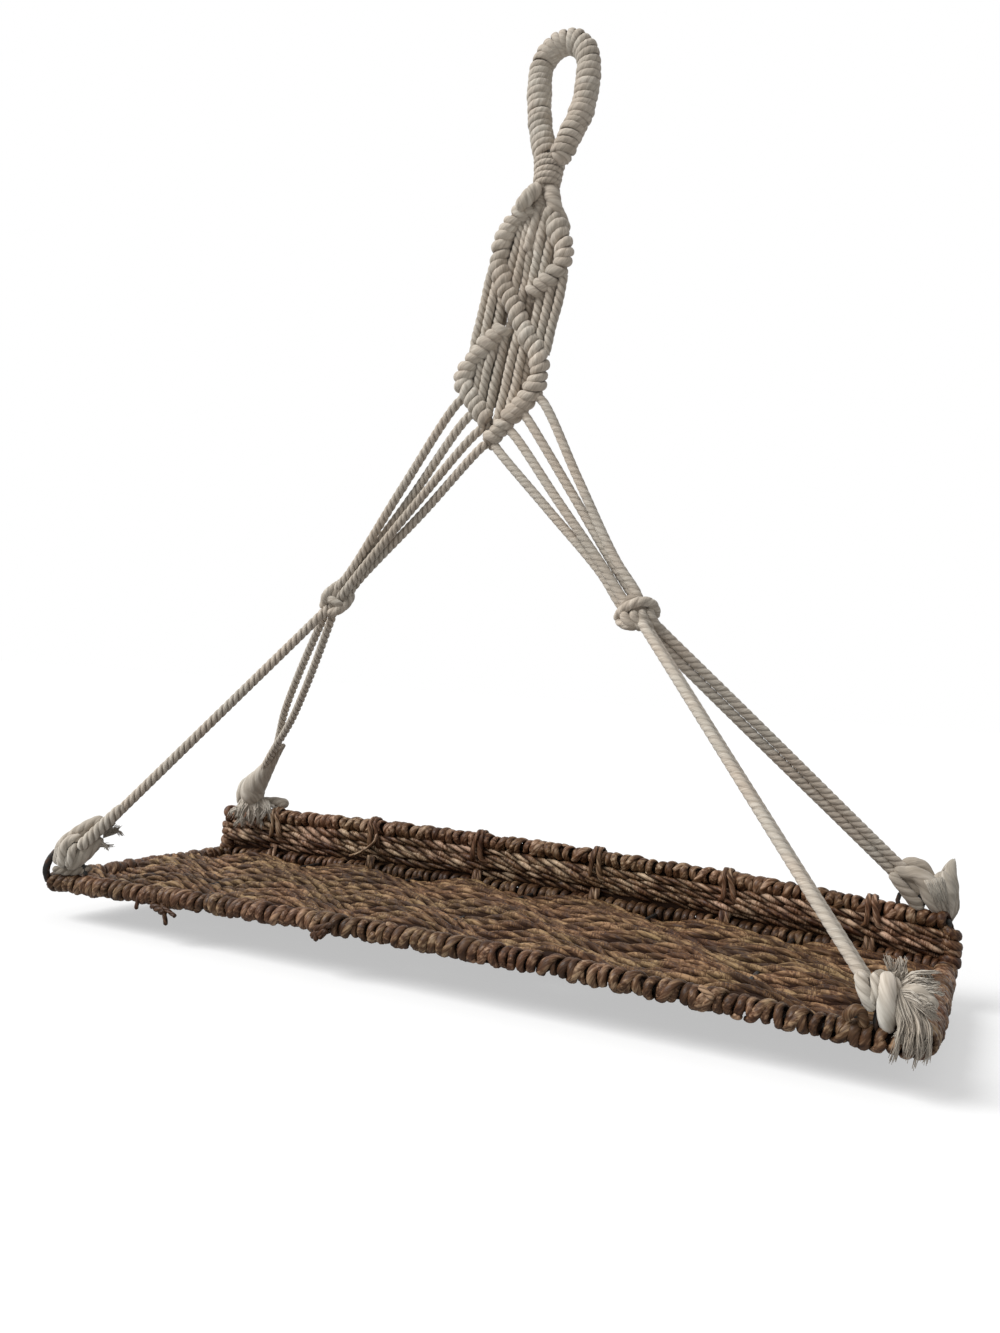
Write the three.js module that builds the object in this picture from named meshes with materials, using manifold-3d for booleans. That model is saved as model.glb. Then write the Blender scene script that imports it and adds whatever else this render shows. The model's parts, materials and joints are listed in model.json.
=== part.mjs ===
// Hanging rope shelf: a woven tray with a raised back lip, slung on eight cords from a
// knotted rope panel and one wrapped hanging loop.
// Millimetres. +X runs along the tray to the right, +Y from the front rim to the back lip, +Z up.
// Inside the assembly group, x is counted from the tray's middle, y from the front rim's rod and
// z from the level halfway between the highest and the lowest point of the bowed front rod. The
// group is then moved so that the origin is the inside top of the loop, where the hook carries it.
import * as THREE from "three";
import { mergeVertices } from "three/addons/utils/BufferGeometryUtils.js";
import Module from "manifold-3d";

const wasm = await Module();
wasm.setup();

// Tray: rods, wraps, floor and lip
const trayLength = 584;
const trayDepth = 197;
const trayBow = 7;
const bowLevelShare = 0.5;
const frameRod = 4.2;
const lipRod = 3;
const crossRod = 3;
const crossRodCount = 5;
const rimWrapDiameter = 15;
const lipWrapDiameter = 12;
const lipHeight = 35.5;
const lipDrop = 5;
const wrapEndMargin = 3;
const lipRopeCount = 2;
const floorThickness = 9;
const floorRows = 20;
const valleyShare = 0.66;
const crownShares = [0.25, 0.75];
const floorChamferShare = 0.5;
const bindingCount = 6;
const bindingWidth = 12;
const bindingThickness = 2.5;
const bindingRoundShare = 0.7;
const seat = 0.3;

// Corner eyes, knots and frayed tails
const eyeInset = 24;
const eyeRadius = 8;
const eyeRod = 3;
const cornerKnots = {
  front_left: { side: -1, front: true, size: [25, 22, 32], tail: [22, 10, 4], tailWidth: 9 },
  front_right: { side: 1, front: true, size: [20, 20, 27], tail: [14, -17, -29], tailWidth: 17 },
  back_left: { side: -1, front: false, size: [25, 22, 24], tail: [3, -16, -21], tailWidth: 13 },
  back_right: { side: 1, front: false, size: [22, 21, 28], tail: [19, 2, 13], tailWidth: 13 },
};
const tailRoot = 4;
const tailSteps = 6;
const tailArchShare = 0.5;
const tailSwellShare = 0.64;

// Cords, rows of hitches and knots
const cordDiameter = 6;
const rowDiameter = 14;
const rowWaist = 11.6;
const hitchPitch = 7;
const gatherKnotRadius = 11;
const crownKnotRadius = 6.5;
const pairSpread = 6.4;
const cordPairs = {
  front_left: { spread: [-0.62, 0.78, 0], bulge: 0, turns: 0 },
  back_left: { spread: [0.8, 0, -0.6], bulge: 2.4, turns: 0.5 },
  front_right: { spread: [0.22, 0.94, -0.26], bulge: 0, turns: 0 },
  back_right: { spread: [0.75, 0, 0.66], bulge: 0.6, turns: 0 },
};
const turnShares = [0.5, 0.95];
const bulgeEndShare = 0.75;
const mergeShare = 0.5;

// Sling: where its plane stands over the tray, and its knots in that plane
const slingY = 108;
const gatherHeight = 213;
const leftGatherX = -143;
const rightGatherX = 95;

// Panel of two rope diamonds, which leans to the left on its way down
const panelTop = 507;
const panelHeight = 178;
const panelTopX = 5;
const panelLean = 31;
const diamondHalfWidth = 30;

// Hanging loop and its neck
const loopHeight = 104;
const loopWidth = 36.5;
const loopCoreDiameter = 9;
const windingCord = 4.2;
const windingTurns = 18;
const windingShares = [0.07, 0.925];
const neckX = 5.5;
const neckDiameter = 12;
const neckHeight = 22;
const neckCord = 4;
const neckTurns = 4;

// Finishes
const cottonDark = new THREE.Color(0.56, 0.51, 0.45);
const cottonPale = new THREE.Color(0.72, 0.69, 0.63);
const seagrass = new THREE.Color(0.3, 0.2, 0.13);
const seagrassRed = new THREE.Color(0.27, 0.16, 0.11);
const darkSteel = new THREE.Color(0.07, 0.07, 0.07);

const fibre = (color) => new THREE.MeshStandardMaterial({ color, roughness: 0.92, metalness: 0 });
const steel = (color) => new THREE.MeshStandardMaterial({ color, roughness: 0.5, metalness: 0.8 });

const assembly = new THREE.Group();
const vec = (x, y, z) => new THREE.Vector3(x, y, z);

function addNode(name, geometry, material) {
  const mesh = new THREE.Mesh(geometry, material);
  mesh.name = name;
  assembly.add(mesh);
  return mesh;
}

// Closed solids: a tube of even size along a curve, and a tube whose radius follows its length
function roundSection(radius, sides) {
  const corners = Array.from({ length: sides }, (unused, i) => {
    const turn = (2 * Math.PI * i) / sides;
    return new THREE.Vector2(radius * Math.cos(turn), radius * Math.sin(turn));
  });
  return new THREE.Shape(corners);
}

function tube(points, diameter, steps, sides = 8) {
  const curve = new THREE.CatmullRomCurve3(points, false, "centripetal");
  const section = roundSection(diameter / 2, sides);
  return new THREE.ExtrudeGeometry(section, { steps, extrudePath: curve, bevelEnabled: false });
}

function loft(curve, steps, sides, radiusAt) {
  curve.arcLengthDivisions = 4 * steps;
  curve.updateArcLengths();
  const frames = curve.computeFrenetFrames(steps, false);
  const positions = [];
  const indices = [];
  for (let i = 0; i <= steps; i += 1) {
    const share = i / steps;
    const middle = curve.getPointAt(share);
    const radius = radiusAt(share);
    for (let j = 0; j < sides; j += 1) {
      const turn = (2 * Math.PI * j) / sides;
      const point = middle.clone();
      point.addScaledVector(frames.normals[i], radius * Math.cos(turn));
      point.addScaledVector(frames.binormals[i], radius * Math.sin(turn));
      positions.push(point.x, point.y, point.z);
    }
  }
  for (let i = 0; i < steps; i += 1) {
    for (let j = 0; j < sides; j += 1) {
      const next = (j + 1) % sides;
      const a = i * sides + j;
      const b = i * sides + next;
      indices.push(a, b, b + sides);
      indices.push(a, b + sides, a + sides);
    }
  }
  const last = steps * sides;
  for (let j = 1; j < sides - 1; j += 1) {
    indices.push(0, j + 1, j);
    indices.push(last, last + j, last + j + 1);
  }
  const geometry = new THREE.BufferGeometry();
  geometry.setAttribute("position", new THREE.Float32BufferAttribute(positions, 3));
  geometry.setIndex(indices);
  return geometry;
}

// Joining and cutting
function toSolid(geometry) {
  const bare = geometry.clone();
  bare.deleteAttribute("normal");
  bare.deleteAttribute("uv");
  const merged = mergeVertices(bare);
  const vertProperties = new Float32Array(merged.getAttribute("position").array);
  const triVerts = new Uint32Array(merged.getIndex().array);
  return new wasm.Manifold(new wasm.Mesh({ numProp: 3, vertProperties, triVerts }));
}

function toGeometry(solid) {
  const mesh = solid.getMesh();
  const geometry = new THREE.BufferGeometry();
  geometry.setAttribute("position", new THREE.Float32BufferAttribute(mesh.vertProperties, 3));
  geometry.setIndex(Array.from(mesh.triVerts));
  return geometry;
}

const joinAll = (geometries) => geometries.map(toSolid).reduce((whole, piece) => whole.add(piece));

// The tray's rods bow: the middle stands higher than the corners
const bowAt = (x) => trayBow * (bowLevelShare - (2 * x / trayLength) ** 2);
const dropShare = (x) => (x / trayLength + 0.5) ** 2;
const lipAt = (x) => bowAt(x) + lipHeight - lipDrop * dropShare(x);

function bend(geometry, heightAt) {
  const position = geometry.getAttribute("position");
  for (let i = 0; i < position.count; i += 1) {
    position.setZ(i, position.getZ(i) + heightAt(position.getX(i)));
  }
  return geometry;
}

function rodAlongX(diameter, fromX, toX, y, heightAt, segments, sides = 8) {
  const rod = new THREE.CylinderGeometry(diameter / 2, diameter / 2, toX - fromX, sides, segments);
  rod.rotateZ(-Math.PI / 2);
  rod.translate((fromX + toX) / 2, y, 0);
  return bend(rod, heightAt);
}

function rodAlongY(diameter, fromY, toY, x, sides = 8) {
  const rod = new THREE.CylinderGeometry(diameter / 2, diameter / 2, toY - fromY, sides, 1);
  rod.translate(x, (fromY + toY) / 2, bowAt(x));
  return rod;
}

const rodSegments = 5;
const bendBallShare = 1.04;
const halfLength = trayLength / 2;
const eyeX = halfLength - eyeInset;
const crossRodSpacing = trayLength / (crossRodCount + 1);

// Welded wire frame; grown by a clearance, the same shapes cut the room it needs
function frameShapes(growth) {
  const rim = frameRod + 2 * growth;
  const lip = lipRod + 2 * growth;
  const cross = crossRod + 2 * growth;
  const shapes = [
    rodAlongX(rim, -halfLength, halfLength, 0, bowAt, rodSegments),
    rodAlongX(rim, -halfLength, halfLength, trayDepth, bowAt, rodSegments),
    rodAlongX(lip, -halfLength, halfLength, trayDepth, lipAt, rodSegments),
  ];
  for (const side of [-1, 1]) {
    const x = side * halfLength;
    shapes.push(rodAlongY(rim, 0, trayDepth, x));
    const post = new THREE.CylinderGeometry(rim / 2, rim / 2, lipAt(x) - bowAt(x), 8, 1);
    post.rotateX(Math.PI / 2);
    post.translate(x, trayDepth, (lipAt(x) + bowAt(x)) / 2);
    shapes.push(post);
    const bends = [[0, bowAt(x)], [trayDepth, bowAt(x)], [trayDepth, lipAt(x)]];
    for (const [y, z] of bends) {
      const ball = new THREE.SphereGeometry((bendBallShare * rim) / 2, 8, 6);
      ball.translate(x, y, z);
      shapes.push(ball);
    }
  }
  for (let i = 1; i <= crossRodCount; i += 1) {
    shapes.push(rodAlongY(cross, 0, trayDepth, i * crossRodSpacing - halfLength));
  }
  for (const knot of Object.values(cornerKnots)) {
    const eye = new THREE.TorusGeometry(eyeRadius, eyeRod / 2 + growth, 6, 12);
    eye.rotateX(Math.PI / 2);
    const place = eyeMiddle(knot);
    eye.translate(place.x, place.y, place.z);
    shapes.push(eye);
  }
  return shapes;
}

function eyeMiddle(knot) {
  const x = knot.side * eyeX;
  const rodZ = knot.front ? bowAt(x) : lipAt(x);
  return vec(x, knot.front ? 0 : trayDepth, rodZ + eyeRadius);
}

const frameSolid = joinAll(frameShapes(0));
const frameRoom = joinAll(frameShapes(seat));
addNode("wire_frame", toGeometry(frameSolid), steel(darkSteel));

// Wrapped rims: each is a sleeve of wound seagrass strand with the rod inside
const wrapEnd = halfLength - wrapEndMargin;
const wrapSides = 10;
const sideWrapStart = rimWrapDiameter / 2 + seat;

function rimWraps(growth) {
  const rim = rimWrapDiameter + 2 * growth;
  const lip = lipWrapDiameter + 2 * growth;
  const sideEnd = trayDepth - sideWrapStart;
  return {
    front_rim_wrap: rodAlongX(rim, -wrapEnd, wrapEnd, 0, bowAt, rodSegments, wrapSides),
    back_rim_wrap: rodAlongX(rim, -wrapEnd, wrapEnd, trayDepth, bowAt, rodSegments, wrapSides),
    lip_rim_wrap: rodAlongX(lip, -wrapEnd, wrapEnd, trayDepth, lipAt, rodSegments, wrapSides),
    left_rim_wrap: rodAlongY(rim, sideWrapStart, sideEnd, -halfLength, wrapSides),
    right_rim_wrap: rodAlongY(rim, sideWrapStart, sideEnd, halfLength, wrapSides),
  };
}

for (const [name, shape] of Object.entries(rimWraps(0))) {
  const hollow = toSolid(shape).subtract(frameRoom);
  addNode(name, toGeometry(hollow), fibre(name === "lip_rim_wrap" ? seagrassRed : seagrass));
}

// Two lengthwise ropes fill the lip between its wrapped rods
const lipRopeEnd = halfLength - frameRod / 2 - seat;
const lipRoom = lipHeight - (rimWrapDiameter + lipWrapDiameter) / 2;
const lipRopeGaps = lipRopeCount + 1;
const lipRopeDiameter = (lipRoom - lipDrop - lipRopeGaps * seat) / lipRopeCount;

for (let number = 1; number <= lipRopeCount; number += 1) {
  const roomAt = (x) => lipRoom - lipDrop * dropShare(x) - lipRopeCount * lipRopeDiameter;
  const ropeAt = (x) => {
    const below = rimWrapDiameter / 2 + (number - 0.5) * lipRopeDiameter;
    return bowAt(x) + below + (number * roomAt(x)) / lipRopeGaps;
  };
  const rope = rodAlongX(lipRopeDiameter, -lipRopeEnd, lipRopeEnd, trayDepth, ropeAt, rodSegments);
  addNode(`lip_rope_${number}`, rope, fibre(seagrassRed));
}

// Flat strands bind the lip's wraps and ropes together
function bindingOutline(growth, x) {
  const halfThick = rimWrapDiameter / 2 + seat + growth;
  const low = -rimWrapDiameter / 2 - seat - growth;
  const high = lipAt(x) - bowAt(x) + lipWrapDiameter / 2 + seat + growth;
  const round = halfThick * bindingRoundShare;
  const outline = new THREE.Shape();
  outline.moveTo(-halfThick + round, low);
  outline.lineTo(halfThick - round, low);
  outline.quadraticCurveTo(halfThick, low, halfThick, low + round);
  outline.lineTo(halfThick, high - round);
  outline.quadraticCurveTo(halfThick, high, halfThick - round, high);
  outline.lineTo(-halfThick + round, high);
  outline.quadraticCurveTo(-halfThick, high, -halfThick, high - round);
  outline.lineTo(-halfThick, low + round);
  outline.quadraticCurveTo(-halfThick, low, -halfThick + round, low);
  return outline;
}

const bindingSpacing = trayLength / bindingCount;

for (let i = 0; i < bindingCount; i += 1) {
  const x = (i - (bindingCount - 1) / 2) * bindingSpacing;
  const outline = bindingOutline(bindingThickness, x);
  outline.holes.push(bindingOutline(0, x));
  const options = { depth: bindingWidth, steps: 1, bevelEnabled: false, curveSegments: 3 };
  const band = new THREE.ExtrudeGeometry(outline, options);
  band.rotateX(Math.PI / 2);
  band.rotateZ(Math.PI / 2);
  band.translate(x - bindingWidth / 2, trayDepth, 0);
  const cutBand = toSolid(bend(band, bowAt)).subtract(frameRoom);
  addNode(`lip_binding_${i + 1}`, toGeometry(cutBand), fibre(seagrassRed));
}

// Woven floor: lengthwise rows over the cross rods, which run through it
const floorFront = rimWrapDiameter / 2 + seat;
const floorBack = trayDepth - rimWrapDiameter / 2 - 2 * seat - bindingThickness - seat;
const floorEnd = halfLength - rimWrapDiameter / 2 - seat;
const rowPitch = (floorBack - floorFront) / floorRows;
const rowCrown = floorThickness / 2;
const rowValley = valleyShare * rowCrown;

function floorOutline() {
  const outline = new THREE.Shape();
  outline.moveTo(floorFront, -rowValley);
  outline.lineTo(floorFront, rowValley);
  for (let row = 0; row < floorRows; row += 1) {
    const start = floorFront + row * rowPitch;
    for (const share of crownShares) {
      outline.lineTo(start + share * rowPitch, rowCrown);
    }
    outline.lineTo(start + rowPitch, rowValley);
  }
  outline.lineTo(floorBack, -rowValley);
  outline.lineTo(floorBack - floorChamferShare * rowPitch, -rowCrown);
  outline.lineTo(floorFront + floorChamferShare * rowPitch, -rowCrown);
  return outline;
}

const floorOptions = { depth: 2 * floorEnd, steps: rodSegments, bevelEnabled: false };
const floorBlock = new THREE.ExtrudeGeometry(floorOutline(), floorOptions);
floorBlock.rotateX(Math.PI / 2);
floorBlock.rotateZ(Math.PI / 2);
floorBlock.translate(-floorEnd, 0, 0);
const floorSolid = toSolid(bend(floorBlock, bowAt)).subtract(frameRoom);
addNode("woven_floor", toGeometry(floorSolid), fibre(seagrass));

// Corner knots: each is tied round its wire eye and ends in a frayed tail
const knotMiddles = {};
const sleeves = rimWraps(seat);
const frontSleeve = toSolid(sleeves.front_rim_wrap);
const lipSleeve = toSolid(sleeves.lip_rim_wrap);
const backSleeve = toSolid(sleeves.back_rim_wrap);
const floorLid = toSolid(bend(
  new THREE.BoxGeometry(2 * floorEnd, floorBack - floorFront, floorThickness + 2 * seat, rodSegments, 1, 1)
    .translate(0, (floorFront + floorBack) / 2, 0),
  bowAt,
));

function tiedKnot(knot, middle, growth) {
  const ball = new THREE.SphereGeometry(1, 12, 8);
  ball.rotateX(Math.PI / 2);
  ball.scale(...knot.size.map((length) => length / 2 + growth));
  ball.translate(middle.x, middle.y, middle.z);
  const tip = vec(...knot.tail).add(middle);
  const halfway = tip.clone().lerp(middle, tailArchShare);
  halfway.z += knot.tailWidth / 2;
  const tailPath = new THREE.CatmullRomCurve3([middle, halfway, tip], false, "centripetal");
  const swell = (knot.tailWidth - tailRoot) / 2;
  const tailRadius = (share) => tailRoot / 2 + swell * Math.sin(tailSwellShare * Math.PI * share);
  const tail = loft(tailPath, tailSteps, 8, (share) => tailRadius(share) + growth);
  return toSolid(ball).add(toSolid(tail));
}

for (const [corner, knot] of Object.entries(cornerKnots)) {
  const eye = eyeMiddle(knot);
  const wrapTop = knot.front ? rimWrapDiameter / 2 : lipWrapDiameter / 2;
  const knotHeight = knot.size[2];
  const middle = vec(eye.x, eye.y, eye.z - eyeRadius + wrapTop + seat + knotHeight / 2);
  knotMiddles[corner] = middle;
  const tied = tiedKnot(knot, middle, 0).subtract(frameRoom).subtract(frontSleeve);
  const clear = tied.subtract(lipSleeve).subtract(backSleeve).subtract(floorLid);
  addNode(`${corner}_corner_knot`, toGeometry(clear), fibre(cottonPale));
}

// Panel: points are given as a share of the half width from the leaning middle line, and as a
// share of the panel's height from its top
function onPanel(sideShare, downShare) {
  const x = panelTopX - panelLean * downShare + diamondHalfWidth * sideShare;
  return vec(x, slingY, panelTop - panelHeight * downShare);
}

const rowShares = {
  left_hitch_row: [
    [-0.139, 0.054], [-0.46, 0.085], [-0.66, 0.125], [-0.77, 0.19], [-0.74, 0.275], [-0.5, 0.35],
    [-0.2, 0.425], [0.02, 0.472], [0.26, 0.535], [0.55, 0.595], [0.8, 0.645], [0.95, 0.7],
    [0.95, 0.77], [0.76, 0.837], [0.48, 0.893], [0.23, 0.955], [0.03, 0.994],
  ],
  right_upper_hitch_row: [
    [0.145, 0.0865], [0.42, 0.125], [0.65, 0.18], [0.88, 0.247], [0.9, 0.31], [0.64, 0.365],
    [0.25, 0.413],
  ],
  left_lower_hitch_row: [
    [-0.22, 0.535], [-0.49, 0.588], [-0.74, 0.635], [-0.93, 0.685], [-0.97, 0.745],
    [-0.64, 0.809], [-0.34, 0.865], [-0.05, 0.915],
  ],
};

const rowSamples = [];
for (const [name, shares] of Object.entries(rowShares)) {
  const points = shares.map(([side, down]) => onPanel(side, down));
  const path = new THREE.CatmullRomCurve3(points, false, "centripetal");
  const hitches = Math.round(path.getLength() / hitchPitch);
  const waist = rowWaist / 2;
  const swell = (rowDiameter - rowWaist) / 2;
  const radiusAt = (share) => waist + swell * Math.abs(Math.sin(Math.PI * hitches * share));
  addNode(name, loft(path, 2 * hitches, 8, radiusAt), fibre(cottonDark));
  const samples = 4 * hitches;
  path.getSpacedPoints(samples).forEach((point, i) => {
    rowSamples.push({ point, reach: radiusAt(i / samples) + seat });
  });
}

// Cords inside and beside the diamonds run as far as the hitch rows leave them room
const strideShare = 0.0025;
const longestRunShare = 0.5;

function isClear(middle, across) {
  return [-1, 0, 1].every((edge) => {
    const place = middle.clone().addScaledVector(across, (edge * cordDiameter) / 2);
    return rowSamples.every((sample) => sample.point.distanceTo(place) >= sample.reach);
  });
}

function seatOnRow(from, toward) {
  const along = toward.clone().sub(from);
  const across = vec(-along.z, 0, along.x).normalize();
  const stride = panelHeight * strideShare;
  const strides = Math.floor(along.length() / stride);
  along.setLength(stride);
  const end = from.clone();
  for (let i = 0; i < strides; i += 1) {
    const next = end.clone().add(along);
    if (!isClear(next, across)) {
      break;
    }
    end.copy(next);
  }
  return end;
}

const cordShares = {
  upper_diamond_cord: { down: 0.23, sides: [-0.4, -0.185, 0.025, 0.235, 0.445] },
  left_side_cord: { down: 0.47, sides: [-0.92, -0.69, -0.46] },
  right_side_cord: { down: 0.47, sides: [0.52, 0.76, 1] },
  lower_diamond_cord: { down: 0.74, sides: [-0.6, -0.37, -0.14, 0.16, 0.4] },
};

for (const [name, shares] of Object.entries(cordShares)) {
  shares.sides.forEach((sideShare, i) => {
    const middle = onPanel(sideShare, shares.down);
    const high = seatOnRow(middle, onPanel(sideShare, shares.down - longestRunShare));
    const low = seatOnRow(middle, onPanel(sideShare, shares.down + longestRunShare));
    addNode(`${name}_${i + 1}`, tube([high, low], cordDiameter, 1), fibre(cottonDark));
  });
}

// Sling cords: four a side gather into a bundle two by two at the knot below them
const gatherKnots = {
  left: vec(leftGatherX, slingY, gatherHeight),
  right: vec(rightGatherX, slingY, gatherHeight),
};
const slingStartShares = {
  left: [[-0.99, 0.826], [-0.63, 0.888], [-0.28, 0.949], [-0.02, 1.003]],
  right: [[1.22, 0.837], [1, 0.915], [0.73, 0.972], [0.4, 1.03]],
};
const bundleShift = pairSpread / 2;
const gatherSeat = gatherKnotRadius + seat;

for (const [side, knot] of Object.entries(gatherKnots)) {
  const starts = slingStartShares[side].map(([across, down]) => onPanel(across, down));
  const panelMiddle = starts[1].clone().add(starts[2]).multiplyScalar(0.5);
  const up = panelMiddle.sub(knot).normalize();
  const across = vec(-up.z, 0, up.x).multiplyScalar(side === "left" ? 1 : -1);
  starts.forEach((start, i) => {
    const outward = i < 2 ? 1 : -1;
    const toFront = i % 2 === 0 ? -1 : 1;
    const end = knot.clone().addScaledVector(up, gatherSeat);
    end.addScaledVector(across, outward * bundleShift);
    end.y += toFront * bundleShift;
    const merge = start.clone().lerp(end, mergeShare);
    const beyond = merge.clone().lerp(start, 1 + mergeShare);
    const seated = seatOnRow(merge, beyond);
    merge.y = end.y;
    addNode(`${side}_sling_cord_${i + 1}`, tube([seated, merge, end], cordDiameter, 6), fibre(cottonDark));
  });
  const ball = new THREE.SphereGeometry(gatherKnotRadius, 12, 8);
  ball.translate(knot.x, knot.y, knot.z);
  addNode(`${side}_gather_knot`, ball, fibre(cottonDark));
}

// Lower cords: a pair from each gather knot to each corner on its side
const pairSteps = 8;
const turnedPairSteps = 14;

for (const [corner, pair] of Object.entries(cordPairs)) {
  const knot = cornerKnots[corner];
  const top = gatherKnots[knot.side < 0 ? "left" : "right"];
  const foot = knotMiddles[corner];
  const down = foot.clone().sub(top).normalize();
  const knotRoom = tiedKnot(knot, foot, seat);
  const start = top.clone().addScaledVector(down, gatherSeat);
  const end = foot.clone().addScaledVector(down, -cordDiameter);
  const spread = vec(...pair.spread);
  spread.addScaledVector(down, -spread.dot(down)).normalize();
  const steps = pair.turns > 0 ? turnedPairSteps : pairSteps;
  for (const number of [1, 2]) {
    const points = [];
    for (let i = 0; i <= steps; i += 1) {
      const share = i / steps;
      const turned = THREE.MathUtils.smoothstep(share, ...turnShares);
      const bulged = Math.sin(Math.PI * Math.min(share / bulgeEndShare, 1));
      const reachOut = bundleShift + pair.bulge * bulged;
      const offset = spread.clone().applyAxisAngle(down, 2 * Math.PI * pair.turns * turned);
      const point = start.clone().lerp(end, share);
      point.addScaledVector(offset, number === 1 ? -reachOut : reachOut);
      points.push(point);
    }
    const cord = toSolid(tube(points, cordDiameter, steps)).subtract(knotRoom);
    addNode(`${corner}_cord_${number}`, toGeometry(cord), fibre(cottonPale));
  }
}

// Crown knot: the panel's cords pass through it into the neck
const crownZ = panelTop - seat - crownKnotRadius;
const crown = new THREE.SphereGeometry(crownKnotRadius, 10, 8);
crown.translate(neckX, slingY, crownZ);
addNode("crown_knot", crown, fibre(cottonDark));

// Hanging loop: its core leaves the neck, goes round and comes back into it
function onLoop([across, up]) {
  return vec(neckX + loopWidth * across, slingY, panelTop + loopHeight * up);
}

const loopTopShare = [0.26, 1];
const loopArcShares = [
  [[0, 0.21], [-0.1, 0.33], [-0.266, 0.47], [-0.266, 0.8]],
  [[-0.266, 0.8], [-0.266, 0.91], [-0.03, 1], loopTopShare],
  [loopTopShare, [0.52, 1], [0.734, 0.91], [0.734, 0.8]],
  [[0.734, 0.8], [0.734, 0.54], [0.5, 0.38], [0.12, 0.26]],
];
const loopPath = new THREE.CurvePath();
for (const shares of loopArcShares) {
  loopPath.add(new THREE.CubicBezierCurve3(...shares.map(onLoop)));
}
const loopTube = loft(loopPath, 32, 8, () => loopCoreDiameter / 2);
const neckBundle = new THREE.CylinderGeometry(neckDiameter / 2, neckDiameter / 2, neckHeight, 12, 1);
neckBundle.rotateX(Math.PI / 2);
neckBundle.translate(neckX, slingY, panelTop + neckHeight / 2);
const neckCrown = new THREE.SphereGeometry(neckDiameter / 2, 12, 8);
neckCrown.translate(neckX, slingY, panelTop + neckHeight);
const coreSolid = joinAll([loopTube, neckBundle, neckCrown]);
addNode("loop_core", toGeometry(coreSolid), fibre(cottonDark));

// Windings: one cord wound round the loop's core, and one round the neck
class Winding extends THREE.Curve {
  constructor(core, from, to, turns, radius) {
    super();
    Object.assign(this, { core, from, to, turns, radius });
  }

  getPoint(share, target = vec(0, 0, 0)) {
    const at = this.from + (this.to - this.from) * share;
    const along = this.core.getTangentAt(at);
    const side = vec(0, 1, 0);
    const out = vec(0, 0, 0).crossVectors(side, along).normalize();
    const turn = 2 * Math.PI * this.turns * share;
    target.copy(this.core.getPointAt(at));
    target.addScaledVector(out, this.radius * Math.cos(turn));
    return target.addScaledVector(side, this.radius * Math.sin(turn));
  }
}

const stepsPerTurn = 24;

function leastGap(winding, diameter) {
  const count = winding.turns * stepsPerTurn;
  const points = Array.from({ length: count + 1 }, (unused, i) => winding.getPoint(i / count));
  let least = Infinity;
  for (let i = 0; i < points.length; i += 1) {
    for (let j = i + stepsPerTurn / 2; j < points.length; j += 1) {
      least = Math.min(least, points[i].distanceTo(points[j]) - diameter);
    }
  }
  return least;
}

function addWinding(name, core, from, to, turns, radius, diameter) {
  const winding = new Winding(core, from, to, turns, radius);
  const steps = turns * stepsPerTurn;
  addNode(name, loft(winding, steps, 6, () => diameter / 2), fibre(cottonDark));
  console.log(name, "least gap to itself, mm:", leastGap(winding, diameter).toFixed(2));
}

const loopWindingRadius = (loopCoreDiameter + windingCord) / 2 + seat;
addWinding("loop_winding", loopPath, ...windingShares, windingTurns, loopWindingRadius, windingCord);

const neckWindingRadius = (neckDiameter + neckCord) / 2 + seat;
const neckWindingLow = panelTop + neckCord / 2;
const neckWindingHigh = panelTop + neckHeight - neckCord / 2;
const neckAxis = new THREE.LineCurve3(
  vec(neckX, slingY, neckWindingLow),
  vec(neckX, slingY, neckWindingHigh),
);
addWinding("neck_wrap", neckAxis, 0, 1, neckTurns, neckWindingRadius, neckCord);

// The hook bears on the inside top of the loop, which becomes the origin
const loopTop = onLoop(loopTopShare);
const windingReach = loopWindingRadius + windingCord / 2;
assembly.position.set(-loopTop.x, -slingY, -(loopTop.z - windingReach));

const shelf = new THREE.Group();
shelf.add(assembly);

export default shelf;
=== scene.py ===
# %% [markdown]
# # A hanging rope shelf
# The shelf is a woven seagrass tray on a wire frame, slung from a knotted cotton panel and one
# wrapped loop. Almost all of it is cord and strand, so this lesson is mostly about laying strands
# along paths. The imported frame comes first: it gives the bodies that every piece rides on.

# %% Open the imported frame
import json
import bpy
import numpy as np
from mathutils import Matrix, Vector


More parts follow.
